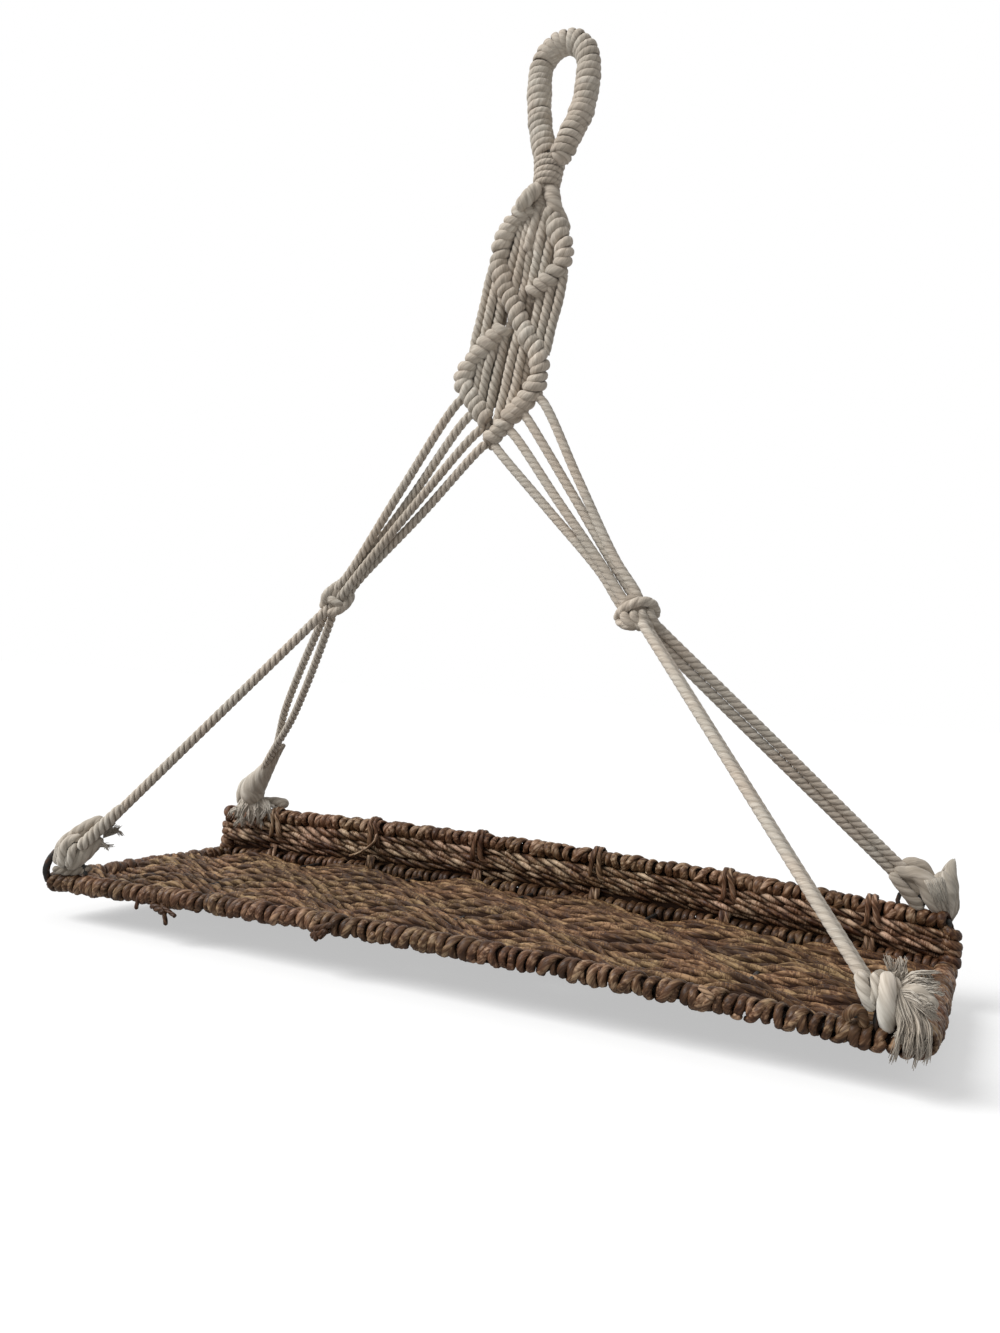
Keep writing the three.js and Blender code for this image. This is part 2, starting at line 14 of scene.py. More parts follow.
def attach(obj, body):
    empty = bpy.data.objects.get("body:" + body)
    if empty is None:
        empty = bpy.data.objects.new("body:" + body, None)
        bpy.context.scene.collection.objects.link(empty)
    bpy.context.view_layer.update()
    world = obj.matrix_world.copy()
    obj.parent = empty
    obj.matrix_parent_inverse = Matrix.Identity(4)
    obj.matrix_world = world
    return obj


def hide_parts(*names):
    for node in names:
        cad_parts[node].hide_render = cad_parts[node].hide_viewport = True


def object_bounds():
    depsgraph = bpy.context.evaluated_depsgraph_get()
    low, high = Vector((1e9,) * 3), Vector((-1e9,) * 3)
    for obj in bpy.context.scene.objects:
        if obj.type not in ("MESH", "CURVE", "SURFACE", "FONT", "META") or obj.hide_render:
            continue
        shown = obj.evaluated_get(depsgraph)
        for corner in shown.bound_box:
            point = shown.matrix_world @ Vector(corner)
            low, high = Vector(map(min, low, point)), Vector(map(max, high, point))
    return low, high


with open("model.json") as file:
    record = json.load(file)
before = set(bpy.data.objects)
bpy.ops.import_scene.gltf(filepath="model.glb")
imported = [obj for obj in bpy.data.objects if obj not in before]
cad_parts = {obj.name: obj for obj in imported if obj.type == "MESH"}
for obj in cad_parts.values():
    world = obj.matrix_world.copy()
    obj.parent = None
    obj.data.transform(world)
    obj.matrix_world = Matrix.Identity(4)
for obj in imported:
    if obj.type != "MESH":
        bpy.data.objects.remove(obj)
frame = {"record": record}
solid_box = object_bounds()
body_of = {node: body for body, nodes in frame["record"]["behaviour"]["bodies"].items() for node in nodes}

# %% [markdown]
# Lengths below are millimetres counted from the tray's middle, as a maker would measure them:
# x along the tray, y from the front rim to the back, z up from the front rim. The frame counts
# from the inside top of the loop, so one helper turns the first into the second.

# %% Measure from the tray
TRAY_IN_FRAME = np.array([14.99, 108.0, 602.0])
MM = 0.001


def in_frame(points):
    return (np.asarray(points, dtype=float) - TRAY_IN_FRAME) * MM


print("tray middle in the frame", in_frame([0, 0, 0]))

# %% [markdown]
# The camera stands where the photograph's stood: low, to the right of the tray and looking a
# little to the left. It was found by fitting the tray's corners and the ends of the cords. It is
# made first, because everything after it is judged through it.

# %% Stand the camera
LENS_PIXELS = 1095.9
FRAME_HEIGHT = 1333
SENSOR = 36.0
NEAREST_SEEN = 0.01
CAMERA_PLACE = np.array([322.726, -581.233, 154.279])
camera_yaw, camera_pitch, camera_roll = np.radians([-25.21, 1.38, 4.22])

ahead = np.array([
    np.sin(camera_yaw) * np.cos(camera_pitch),
    np.cos(camera_yaw) * np.cos(camera_pitch),
    np.sin(camera_pitch),
])
level = np.array([np.cos(camera_yaw), -np.sin(camera_yaw), 0.0])
upward = np.cross(level, ahead)
camera_right = level * np.cos(camera_roll) + upward * np.sin(camera_roll)
camera_up = upward * np.cos(camera_roll) - level * np.sin(camera_roll)

bpy.ops.object.select_all(action="DESELECT")
bpy.ops.object.camera_add()
camera = bpy.context.object
camera.name = "camera"
camera.data.sensor_width = SENSOR
camera.data.lens = LENS_PIXELS * SENSOR / FRAME_HEIGHT
camera.data.clip_start = NEAREST_SEEN
turn = Matrix([list(row) for row in np.array([camera_right, camera_up, -ahead]).T]).to_4x4()
camera.matrix_world = Matrix.Translation(in_frame(CAMERA_PLACE)) @ turn
bpy.context.scene.camera = camera
print("lens", round(camera.data.lens, 2), "mm")

# %% [markdown]
# The materials, the light and the world are all built from nodes. Each node is added with its
# settings, and each of its sockets gets a plain value or the output that feeds it. A few small
# helpers do that for every node in this lesson.

# %% Add and feed nodes
WHITE = (1.0, 1.0, 1.0, 1.0)


def feed(tree, socket, value):
    if isinstance(value, bpy.types.NodeSocket):
        tree.links.new(value, socket)
    else:
        socket.default_value = value


def fill(tree, node, inputs):
    for name, value in inputs.items():
        feed(tree, node.inputs[name], value)
    return node


def add_node(tree, kind, inputs=(), **settings):
    node = tree.nodes.new("ShaderNode" + kind)
    for name, value in settings.items():
        setattr(node, name, value)
    return fill(tree, node, dict(inputs))


def math_node(tree, operation, first, second):
    return add_node(tree, "Math", {0: first, 1: second}, operation=operation).outputs[0]


def mix_colors(tree, share, first, second, blend="MIX"):
    node = add_node(tree, "Mix", {"Factor": share}, data_type="RGBA", blend_type=blend)
    color_sockets = [socket for socket in node.inputs if socket.type == "RGBA"]
    for socket, value in zip(color_sockets, (first, second)):
        feed(tree, socket, value)
    return [socket for socket in node.outputs if socket.type == "RGBA"][0]


def new_material(name):
    material = bpy.data.materials.new(name)
    material.use_nodes = True
    return material, material.node_tree, material.node_tree.nodes["Principled BSDF"]


print("node helpers ready")

# %% [markdown]
# A pale floor lies a little below the tray and catches its soft shadow. To the camera alone it
# glows a little, so that it reads white while the shadow stays. The world is white to the camera
# and to reflections, and gives a softer even light to everything else. One broad lamp stands high
# on the left, as the bright left sides of the cords show.

# %% Set the stage and the light
FLOOR_DROP = 0.016
FLOOR_SIZE = 60
FLOOR_TOWARD_BACK = 20
FLOOR_GREY = (0.5, 0.5, 0.5, 1)
FLOOR_LIFT = 0.5
AMBIENT = 0.4
LAMP_FROM = (-0.8, -0.72, 1.0)
LAMP_STRENGTH = 3.3
LAMP_SOFTNESS_DEGREES = 38

floor_height = float(solid_box[0][2]) - FLOOR_DROP
bpy.ops.mesh.primitive_plane_add(size=FLOOR_SIZE, location=(0, FLOOR_TOWARD_BACK, floor_height))
studio_floor = bpy.context.object
studio_floor.name = "studio_floor"
floor_paint, paint_tree, paint = new_material("floor_white")
seen = add_node(paint_tree, "LightPath").outputs["Is Camera Ray"]
fill(paint_tree, paint, {
    "Base Color": FLOOR_GREY, "Roughness": 1, "Specular IOR Level": 0, "Emission Color": WHITE,
    "Emission Strength": math_node(paint_tree, "MULTIPLY", seen, FLOOR_LIFT),
})
studio_floor.data.materials.append(floor_paint)

world = bpy.data.worlds.new("studio")
bpy.context.scene.world = world
world.use_nodes = True
sky_tree = world.node_tree
ray = add_node(sky_tree, "LightPath").outputs
seen_or_glossy = math_node(sky_tree, "MAXIMUM", ray["Is Camera Ray"], ray["Is Glossy Ray"])
seen_at_all = math_node(sky_tree, "MAXIMUM", seen_or_glossy, ray["Is Transmission Ray"])
brightness = add_node(sky_tree, "MapRange", {"Value": seen_at_all, "To Min": AMBIENT, "To Max": 1.0})
fill(sky_tree, sky_tree.nodes["Background"], {"Color": WHITE, "Strength": brightness.outputs["Result"]})

bpy.ops.object.light_add(type="SUN", location=LAMP_FROM)
lamp = bpy.context.object
lamp.name = "lamp_high_left"
lamp.data.energy = LAMP_STRENGTH
lamp.data.angle = float(np.radians(LAMP_SOFTNESS_DEGREES))
lamp.rotation_euler = (-Vector(LAMP_FROM)).to_track_quat("-Z", "Y").to_euler()

bpy.context.scene.view_settings.view_transform = "Standard"
print("floor at", round(floor_height, 4), "m")

# %% [markdown]
# Every surface here is fibre, and fibre shows as fine streaks that run along the strand. One
# shader group makes the streaks for all materials, from the UV map that each strand carries: U
# counts the plies round the strand and V its length in centimetres. A second group mixes three
# tones of one fibre, and paints shade into the creases between strands, mixing in a dark crease
# colour by the mesh's own crease value. A third tints broad patches, because one bale of fibre
# is never all one colour.

# %% Build the fibre groups
NUMBER, COLOR, VECTOR = "NodeSocketFloat", "NodeSocketColor", "NodeSocketVector"
STRANDS_APART = 37.0
PATCH_SCALE = 28


def srgb(*color):
    share = np.array(color) / 255.0
    linear = np.where(share <= 0.04045, share / 12.92, ((share + 0.055) / 1.055) ** 2.4)
    return (*[float(value) for value in linear], 1.0)


def new_group(name, inputs, outputs):
    tree = bpy.data.node_groups.new(name, "ShaderNodeTree")
    for in_out, sockets in (("INPUT", inputs), ("OUTPUT", outputs)):
        for socket_name, socket_type in sockets.items():
            tree.interface.new_socket(socket_name, in_out=in_out, socket_type=socket_type)
    return tree, tree.nodes.new("NodeGroupInput").outputs, tree.nodes.new("NodeGroupOutput")


streaks, given, streaks_out = new_group(
    "fibre_streaks",
    {"UV": VECTOR, "Across": NUMBER, "Along": NUMBER, "Slant": NUMBER, "Tone": NUMBER},
    {"Fine": NUMBER, "Broad": NUMBER},
)
uv_parts = add_node(streaks, "SeparateXYZ", {0: given["UV"]}).outputs
slid = math_node(streaks, "MULTIPLY", uv_parts["Y"], given["Slant"])
turned = math_node(streaks, "ADD", uv_parts["X"], slid)
across = math_node(streaks, "MULTIPLY", turned, given["Across"])
along = math_node(streaks, "MULTIPLY", uv_parts["Y"], given["Along"])
apart = math_node(streaks, "MULTIPLY", given["Tone"], STRANDS_APART)
for output_name, detail, share in (("Fine", 3.0, 1.0), ("Broad", 1.0, 0.27)):
    place_node = add_node(streaks, "CombineXYZ", {
        "X": math_node(streaks, "MULTIPLY", across, share),
        "Y": math_node(streaks, "MULTIPLY", along, share),
        "Z": apart,
    })
    noise = add_node(streaks, "TexNoise", {"Vector": place_node.outputs[0], "Scale": 1.0, "Detail": detail})
    fill(streaks, streaks_out, {output_name: noise.outputs["Fac"]})

tones, given, tones_out = new_group(
    "fibre_tones",
    {"Dark": COLOR, "Middle": COLOR, "Pale": COLOR, "Crease": COLOR, "Fine": NUMBER, "Broad": NUMBER,
     "Tone": NUMBER, "Depth": NUMBER, "Spread": NUMBER},
    {"Color": COLOR, "Height": NUMBER},
)
centred = math_node(tones, "SUBTRACT", math_node(tones, "ADD", given["Fine"], given["Broad"]), 1.0)
spread_out = math_node(tones, "MULTIPLY", centred, given["Spread"])
value = math_node(tones, "ADD", spread_out, given["Tone"])
low_share = add_node(tones, "MapRange", {"Value": value, "From Max": 0.5}).outputs[0]
high_share = add_node(tones, "MapRange", {"Value": value, "From Min": 0.5}).outputs[0]
darker_half = mix_colors(tones, low_share, given["Dark"], given["Middle"])
body_color = mix_colors(tones, high_share, darker_half, given["Pale"])
creased = mix_colors(tones, given["Depth"], given["Crease"], body_color)
fill(tones, tones_out, {"Color": creased, "Height": given["Fine"]})

patches, given, patches_out = new_group(
    "patch_tint", {"Place": VECTOR, "Color": COLOR, "First": COLOR, "Second": COLOR}, {"Color": COLOR},
)
patch_noise = add_node(patches, "TexNoise", {"Vector": given["Place"], "Scale": PATCH_SCALE, "Detail": 2})
patch_share = add_node(patches, "MapRange", {
    "Value": patch_noise.outputs["Fac"], "From Min": 0.38, "From Max": 0.62,
}).outputs[0]
patch_color = mix_colors(patches, patch_share, given["First"], given["Second"])
tinted = mix_colors(patches, 1.0, given["Color"], patch_color, blend="MULTIPLY")
fill(patches, patches_out, {"Color": tinted})
print("groups", streaks.name, tones.name, patches.name)

# %% [markdown]
# Cotton is pale, warm grey and nearly matt, with a slight sheen from loose fibres. Seagrass runs
# from near-black through red-brown to tan, and its smooth leaf skin gives small soft highlights,
# which die out in the creases, so roughness rises there. All of them use the same groups with
# their own values.

# %% Mix the fibre materials
LAY = 16.0
PLIES = 3
YARN_SLANT = PLIES * 10.0 / LAY
BUMP_DEPTH = 0.0006
SHEEN_ROUGHNESS = 0.6
COTTON_TINTS = ((1.0, 0.97, 0.93), (0.96, 0.98, 0.97))
GRASS_TINTS = ((1.1, 0.96, 0.88), (1.0, 0.99, 0.86))


def fibre_material(name, tone_colors, tints, across, along, slant, spread, rough, bump, sheen, gloss):
    material, tree, shader = new_material(name)
    tone = add_node(tree, "Attribute", attribute_name="tone").outputs["Fac"]
    depth = add_node(tree, "Attribute", attribute_name="depth").outputs["Fac"]
    uv = add_node(tree, "UVMap", uv_map="strand").outputs[0]
    place = add_node(tree, "TexCoord").outputs["Object"]
    streak = add_node(tree, "Group", {
        "UV": uv, "Across": across, "Along": along, "Slant": slant, "Tone": tone,
    }, node_tree=streaks).outputs
    dark, middle, pale, crease = [srgb(*color) for color in tone_colors]
    mixed = add_node(tree, "Group", {
        "Dark": dark, "Middle": middle, "Pale": pale, "Crease": crease, "Fine": streak["Fine"],
        "Broad": streak["Broad"], "Tone": tone, "Depth": depth, "Spread": spread,
    }, node_tree=tones).outputs
    first_tint, second_tint = [(*tint, 1.0) for tint in tints]
    tinted_fibre = add_node(tree, "Group", {
        "Place": place, "Color": mixed["Color"], "First": first_tint, "Second": second_tint,
    }, node_tree=patches).outputs
    bumps = add_node(tree, "Bump", {"Strength": bump, "Distance": BUMP_DEPTH, "Height": mixed["Height"]})
    polish = math_node(tree, "MULTIPLY", depth, 1.0 - rough)
    fill(tree, shader, {
        "Base Color": tinted_fibre["Color"], "Normal": bumps.outputs["Normal"],
        "Roughness": math_node(tree, "SUBTRACT", 1.0, polish),
        "Specular IOR Level": gloss, "Sheen Weight": sheen, "Sheen Roughness": SHEEN_ROUGHNESS,
    })
    return material


# each list: the fibre's dark, middle and pale tones, then its crease colour, which is painted shade
cotton = fibre_material(
    "cotton_cord", [(148, 137, 124), (190, 179, 166), (225, 217, 206), (110, 97, 84)], COTTON_TINTS,
    across=13, along=1.2, slant=YARN_SLANT, spread=0.9, rough=0.9, bump=0.5, sheen=0.2, gloss=0.12,
)
cotton_frayed = fibre_material(
    "cotton_frayed", [(142, 132, 119), (184, 175, 163), (224, 217, 207), (112, 100, 87)], COTTON_TINTS,
    across=6, along=1.2, slant=0, spread=0.8, rough=0.85, bump=0.4, sheen=0.2, gloss=0.15,
)
seagrass_floor = fibre_material(
    "seagrass_floor", [(52, 31, 15), (96, 70, 46), (158, 131, 100), (26, 11, 3)], GRASS_TINTS,
    across=5, along=1.3, slant=0, spread=1.5, rough=0.45, bump=0.8, sheen=0.0, gloss=0.2,
)
seagrass_rim = fibre_material(
    "seagrass_rim", [(53, 34, 22), (91, 66, 48), (162, 137, 114), (23, 11, 4)], GRASS_TINTS,
    across=5, along=1.6, slant=0, spread=1.5, rough=0.36, bump=0.8, sheen=0.0, gloss=0.21,
)
# the lip's pale tone stands partly for painted highlights on its leaves
seagrass_lip = fibre_material(
    "seagrass_lip", [(60, 37, 24), (114, 86, 65), (194, 170, 150), (28, 13, 4)], GRASS_TINTS,
    across=5, along=1.6, slant=0, spread=1.5, rough=0.36, bump=0.8, sheen=0.0, gloss=0.21,
)
print("fibres", cotton.name, cotton_frayed.name, seagrass_floor.name, seagrass_rim.name, seagrass_lip.name)

# %% [markdown]
# A strand needs a smooth path. The solids follow a centripetal curve through a list of points, and
# the same curve is drawn here, so each cord lies where its solid lies in the frame. The path is
# then walked in even steps, and a small random drift, always from a fixed seed, gives the
# irregularity of hand work.

# %% Draw paths
POINTS_A_STRETCH = 24


def unit(vectors):
    return vectors / np.linalg.norm(vectors, axis=-1, keepdims=True)


def lengths_along(path):
    return np.concatenate([[0], np.cumsum(np.linalg.norm(np.diff(path, axis=0), axis=1))])


def read_at(wanted, marks, values):
    return np.stack([np.interp(wanted, marks, values[:, k]) for k in range(3)], axis=1)


def evenly(points, step):
    points = np.asarray(points, dtype=float)
    lengths = lengths_along(points)
    count = max(2, int(round(lengths[-1] / step)))
    return read_at(np.linspace(0, lengths[-1], count + 1), lengths, points)


def smooth_path(points, step):
    points = np.asarray(points, dtype=float)
    full = np.vstack([2 * points[0] - points[1], points, 2 * points[-1] - points[-2]])
    share = np.linspace(0, 1, POINTS_A_STRETCH, endpoint=False)[:, None]
    pieces = []
    for p0, p1, p2, p3 in zip(full, full[1:], full[2:], full[3:]):
        d0, d1, d2 = (np.sqrt(np.linalg.norm(b - a)) for a, b in ((p0, p1), (p1, p2), (p2, p3)))
        out_of = ((p1 - p0) / d0 - (p2 - p0) / (d0 + d1) + (p2 - p1) / d1) * d1
        into = ((p2 - p1) / d1 - (p3 - p1) / (d1 + d2) + (p3 - p2) / d2) * d1
        pieces.append(
            p1 + out_of * share + (3 * (p2 - p1) - 2 * out_of - into) * share ** 2
            + (2 * (p1 - p2) + out_of + into) * share ** 3
        )
    pieces.append(points[-1:])
    return evenly(np.vstack(pieces), step)


def heading(path):
    return unit(np.gradient(path, axis=0))


def carried_normals(path):
    """Directions square to the path, carried along it without any twist."""
    ahead_of = heading(path)
    first = np.cross(ahead_of[0], [0.0, 1.0, 0.0])
    if np.linalg.norm(first) < 0.2:
        first = np.cross(ahead_of[0], [1.0, 0.0, 0.0])
    normals = [unit(first)]
    for direction in ahead_of[1:]:
        kept = normals[-1] - direction * np.dot(normals[-1], direction)
        normals.append(unit(kept))
    return np.array(normals)


def eased(share, low=0.0, high=1.0):
    share = np.clip((np.asarray(share, dtype=float) - low) / (high - low), 0, 1)
    return share * share * (3 - 2 * share)


def drift(places, every, amount, rng):
    """A smooth random wander: a new random value at each stretch, eased from one to the next."""
    places = np.asarray(places, dtype=float) / every
    low = int(np.floor(places.min()))
    values = rng.uniform(-1, 1, int(np.ceil(places.max())) - low + 3)
    index = np.floor(places).astype(int) - low
    rise = eased(places - np.floor(places))
    return amount * (values[index] * (1 - rise) + values[index + 1] * rise)


def drifts(count, places, every, amount, rng):
    return np.stack([drift(places, every, amount, rng) for _ in range(count)], axis=1)


print("a path of", len(smooth_path([[0, 0, 0], [5, 0, 9], [12, 0, 10]], 1.0)), "points")

# %% [markdown]
# A laid cord has a lobed section, one lobe for each ply, that turns as it travels. Here the
# points of the mesh travel with the plies, so a groove stays sharp with few points. The same
# shape, made wide and flat, serves as a seagrass strand. The crease value is low in a groove, and
# where a strand turns away into the thing it is wound on; the materials paint shade there with it.

# %% Lay a strand
CORD = 6.0
CORD_STEP = 1.25
STRAIGHT = 1e9
CREASE_GAIN = 2.5
UV_PER_MM = 0.1


def as_column(value, count):
    return np.broadcast_to(np.asarray(value, dtype=float).reshape(-1, 1), (count, 1))


def lay_strand(path, normals, thick, width, plies=PLIES, lay=LAY, groove=0.34, per_ply=8, twist=-1,
               phase=0.0, lean=1.0, ply_drift=None, shelter=None, crease_shade_spread=1.0):
    """Rings of points along a path: thick along the normals, wide across, one lobe for each ply."""
    ahead_of = heading(path)
    sides = unit(np.cross(ahead_of, normals))
    normals = np.cross(sides, ahead_of)
    travelled = lengths_along(path)
    count = plies * per_ply
    ply_share = (np.arange(count) % per_ply) / per_ply
    crown = np.sqrt(np.sin(np.pi * ply_share ** lean))
    angle = 2 * np.pi * np.arange(count)[None, :] / count
    angle = angle + twist * 2 * np.pi * travelled[:, None] / lay + phase
    reach = np.broadcast_to((1 - groove * (1 - crown))[None, :], angle.shape)
    if ply_drift is not None:
        reach = reach * (1 + np.repeat(ply_drift, per_ply, axis=1))
    out = as_column(thick, len(path)) / 2
    wide = as_column(width, len(path)) / 2
    rings = path[:, None, :] + (out * reach * np.cos(angle))[:, :, None] * normals[:, None, :]
    rings = rings + (wide * reach * np.sin(angle))[:, :, None] * sides[:, None, :]
    # painted shade: the crease value falls toward the grooves between plies
    crease = 1 - crown[None, :] ** crease_shade_spread
    depth = np.broadcast_to(1 - crease * min(1.0, groove * CREASE_GAIN), angle.shape)
    # painted shade on the side of the strand that turns in toward what it is wound on
    if shelter is not None:
        depth = depth * eased(np.cos(angle), *shelter)
    return {"rings": rings, "plies": plies, "travelled": travelled, "depth": depth}


def round_strand(path, width, **look):
    return lay_strand(path, carried_normals(path), width, width, **look)


def rod(points, diameter, step=4.0):
    return round_strand(evenly(points, step), diameter, plies=1, groove=0.0)


def domed(path, width):
    """The width along a path whose two ends are rounded off."""
    travelled = lengths_along(path)
    from_end = np.minimum(travelled, travelled[-1] - travelled)
    inset = 1 - np.clip(from_end / (np.asarray(width) / 2), 0, 1)
    return width * np.sqrt(np.clip(1 - inset ** 2, 0.02, 1))


def domed_strand(path, width, flat=1.0, **look):
    size = domed(path, width)
    return lay_strand(path, carried_normals(path), flat * size, size, **look)


print("cord of", CORD, "mm, laid once in", LAY, "mm")

# %% [markdown]
# Strands that belong together become one mesh. Each ring is joined to the next by quads, and each
# end is closed by a fan of triangles. The mesh carries the UV map, and a tone and a crease value at
# each point, for the materials. Then it rides on the body of the solid that it stands for.

# %% Gather strands into pieces
class Bundle:
    """Strands that are gathered into one mesh."""

    def __init__(self):
        self.strands = []

    def add(self, strand, tone, shade=1.0):
        rows, sides = strand["rings"].shape[:2]
        tone = np.asarray(tone, dtype=float)
        if tone.ndim == 2:
            tone = np.repeat(tone, sides // tone.shape[1], axis=1)
        else:
            tone = np.broadcast_to(tone.reshape(-1, 1), (rows, sides))
        strand["tone"] = tone
        # shade lowers the crease value of a whole strand: painted shade for strands inside, behind or under
        # others
        strand["shade"] = np.broadcast_to(np.asarray(shade, dtype=float), (rows,))
        self.strands.append(strand)

    def mesh(self, name):
        points, quads, caps, quad_uv, cap_uv, tone, depth = [], [], [], [], [], [], []
        base = 0
        for strand in self.strands:
            rings = strand["rings"]
            rows, sides = rings.shape[:2]
            points += [rings.reshape(-1, 3), rings[0].mean(axis=0)[None], rings[-1].mean(axis=0)[None]]
            i, j = np.meshgrid(np.arange(rows - 1), np.arange(sides), indexing="ij")
            after = (j + 1) % sides
            corners = [i * sides + j, i * sides + after, (i + 1) * sides + after, (i + 1) * sides + j]
            quads.append(base + np.stack(corners, axis=-1).reshape(-1, 4))
            along = strand["travelled"] * UV_PER_MM
            corner_u = np.stack([j, j + 1, j + 1, j], axis=-1) * (strand["plies"] / sides)
            corner_v = np.stack([along[i], along[i], along[i + 1], along[i + 1]], axis=-1)
            quad_uv.append(np.stack([corner_u, corner_v], axis=-1).reshape(-1, 2))
            first, last = rows * sides, rows * sides + 1
            around = np.arange(sides)
            beside = (around + 1) % sides
            end = (rows - 1) * sides
            caps.append(base + np.stack([np.full(sides, first), beside, around], axis=-1))
            caps.append(base + np.stack([np.full(sides, last), end + around, end + beside], axis=-1))
            cap_uv.append(np.zeros((6 * sides, 2)))
            tone += [strand["tone"].reshape(-1), strand["tone"][[0, -1], 0]]
            depth += [(strand["depth"] * strand["shade"][:, None]).reshape(-1), strand["shade"][[0, -1]]]
            base += rows * sides + 2
        mesh = bpy.data.meshes.new(name)
        faces = np.vstack(quads).tolist() + np.vstack(caps).tolist()
        mesh.from_pydata(in_frame(np.vstack(points)).tolist(), [], faces)
        mesh.uv_layers.new(name="strand")
        mesh.uv_layers["strand"].data.foreach_set("uv", np.vstack(quad_uv + cap_uv).ravel())
        for attribute, values in (("tone", tone), ("depth", depth)):
            layer = mesh.attributes.new(attribute, "FLOAT", "POINT")
            layer.data.foreach_set("value", np.clip(np.concatenate(values), 0, 1))
        mesh.shade_smooth()
        return mesh

    def piece(self, name, material, slot, *nodes, body=None):
        mesh = self.mesh(name)
        mesh.materials.append(material)
        thing = bpy.data.objects.new(name, mesh)
        bpy.context.scene.collection.objects.link(thing)
        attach(thing, body or body_of[nodes[0]])
        if nodes:
            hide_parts(*nodes)
        triangles = sum(len(polygon.vertices) - 2 for polygon in mesh.polygons)
        print(name, len(self.strands), "strands", triangles, "triangles")


print("pieces can be gathered")

# %% [markdown]
# Much of the shelf is one strand wound round something: the loop, the neck, the rows of hitches
# and the rims. A winding follows its core at a pitch and a radius, and drifts a little in both.
# Its strand keeps its flat side against the core.

# %% Wind a strand round a core
TILT_PHASE = 1.1
SLOW_TURNS = 9.0


def wind(core, side, start, end, pitch, radius, rng, steps=22, hand=1, phase=0.0, slip=0.0, swell=0.0,
         lean=0.0, stagger=0.0):
    """The path of a winding, the way outward at each of its points, and the count of its turns."""
    travelled = lengths_along(core)
    turn = np.arange(int((end - start) / pitch * steps) + 1) / steps
    place_on = start + pitch * turn
    if slip:
        place_on = place_on + drift(turn, 1.0, slip, rng)
    place_on = np.clip(place_on, 0, travelled[-1])
    middle = read_at(place_on, travelled, core)
    tangent = unit(read_at(place_on, travelled, heading(core)))
    out = unit(np.cross(np.asarray(side, dtype=float), tangent))
    over = np.cross(tangent, out)
    angle = hand * 2 * np.pi * turn + phase
    radial = np.cos(angle)[:, None] * out + np.sin(angle)[:, None] * over
    reach = np.full(len(turn), float(radius))
    if swell:
        reach = reach + drift(turn, 0.8, swell, rng)
    path = middle + radial * reach[:, None]
    tilt = np.full(len(turn), float(lean))
    if stagger:
        tilt = tilt + drift(turn, 1.0, stagger, rng)
    path = path + tangent * (tilt * np.cos(angle + TILT_PHASE))[:, None]
    return path, radial, turn


def add_winding(bundle, winding, thick, width, rng, uneven=0.0, tone=0.5, speckle=0.2, slow=0.0, **look):
    """A wound strand that varies in size and tone from turn to turn, and slowly over many turns."""
    path, radial, turn = winding
    fat = 1 + drift(turn, 1.0, uneven, rng) if uneven else 1.0
    tone = tone + drift(turn, 1.0, speckle, rng)
    if slow:
        tone = tone + drift(turn, SLOW_TURNS, slow, rng)
    bundle.add(lay_strand(path, radial, thick * fat, width * fat, **look), tone)


print("windings can be drawn")

# %% [markdown]
# The hanging loop is a core of cords, wound from end to end with one cord in tight turns. Each
# turn lies hard against the last, and painted shade darkens the sides of the cord toward the core.
# The right leg comes down in front of the neck, so its end is drawn a little towards the viewer,
# and a short plug of cord closes it.

# %% Wind the hanging loop
SLING_Y = 108.0
TO_BACK = (0, 1, 0)
LOOP_HEIGHT, LOOP_WIDTH = 104.0, 36.5
LOOP_PITCH, LOOP_REACH, LOOP_THICK, LOOP_CORD = 4.9, 7.2, 3.3, 5.9
LEG_FORWARD = 5.0
PLUG_WIDTH = 16.0
NECK_X, PANEL_TOP = 5.5, 507.0
LOOP_ARCS = [
    [[0, .21], [-.1, .33], [-.266, .47], [-.266, .8]],
    [[-.266, .8], [-.266, .91], [-.03, 1], [.26, 1]],
    [[.26, 1], [.52, 1], [.734, .91], [.734, .8]],
    [[.734, .8], [.76, .52], [.56, .42], [.36, .19]],
]


def loop_path(step):
    share = np.linspace(0, 1, 60)[:, None]
    keep = 1 - share
    flat = np.vstack([
        a * keep ** 3 + 3 * b * keep ** 2 * share + 3 * c * keep * share ** 2 + d * share ** 3
        for a, b, c, d in np.array(LOOP_ARCS)
    ])
    across, upward = NECK_X + LOOP_WIDTH * flat[:, 0], PANEL_TOP + LOOP_HEIGHT * flat[:, 1]
    return evenly(np.stack([across, np.full(len(flat), SLING_Y), upward], axis=1), step)


loop_core_path = loop_path(1.5)
loop_length = lengths_along(loop_core_path)[-1]
loop_core_path[:, 1] -= LEG_FORWARD * eased(lengths_along(loop_core_path) / loop_length, 0.8, 0.96)

rng = np.random.default_rng(11)
loop_turns = wind(
    loop_core_path, TO_BACK, 0.5, loop_length - 1.0, LOOP_PITCH, LOOP_REACH, rng,
    steps=26, slip=0.7, swell=0.35, lean=0.5, stagger=0.5,
)
loop_winding = Bundle()
add_winding(loop_winding, loop_turns, LOOP_THICK, LOOP_CORD, rng, uneven=0.16, lay=12.0, groove=0.08,
            per_ply=5, shelter=(-0.45, 0.3))
end_place, end_turn = loop_core_path[-1], unit(loop_core_path[-6] - loop_core_path[-1])
plug = evenly([end_place + end_turn * 6, end_place - end_turn * 5], 0.8)
loop_winding.add(domed_strand(plug, PLUG_WIDTH, groove=0.12), 0.5)
loop_winding.piece("wound_loop", cotton, "panel_cotton", "loop_winding")
print("loop length", round(loop_length), "mm, turns", round(loop_turns[2][-1], 1))

# %% [markdown]
# Inside the winding the core is a plain round bundle. Below, in the neck, its six cords stand
# side by side, and the neck's own cord is wrapped round them, a little wider at the top.

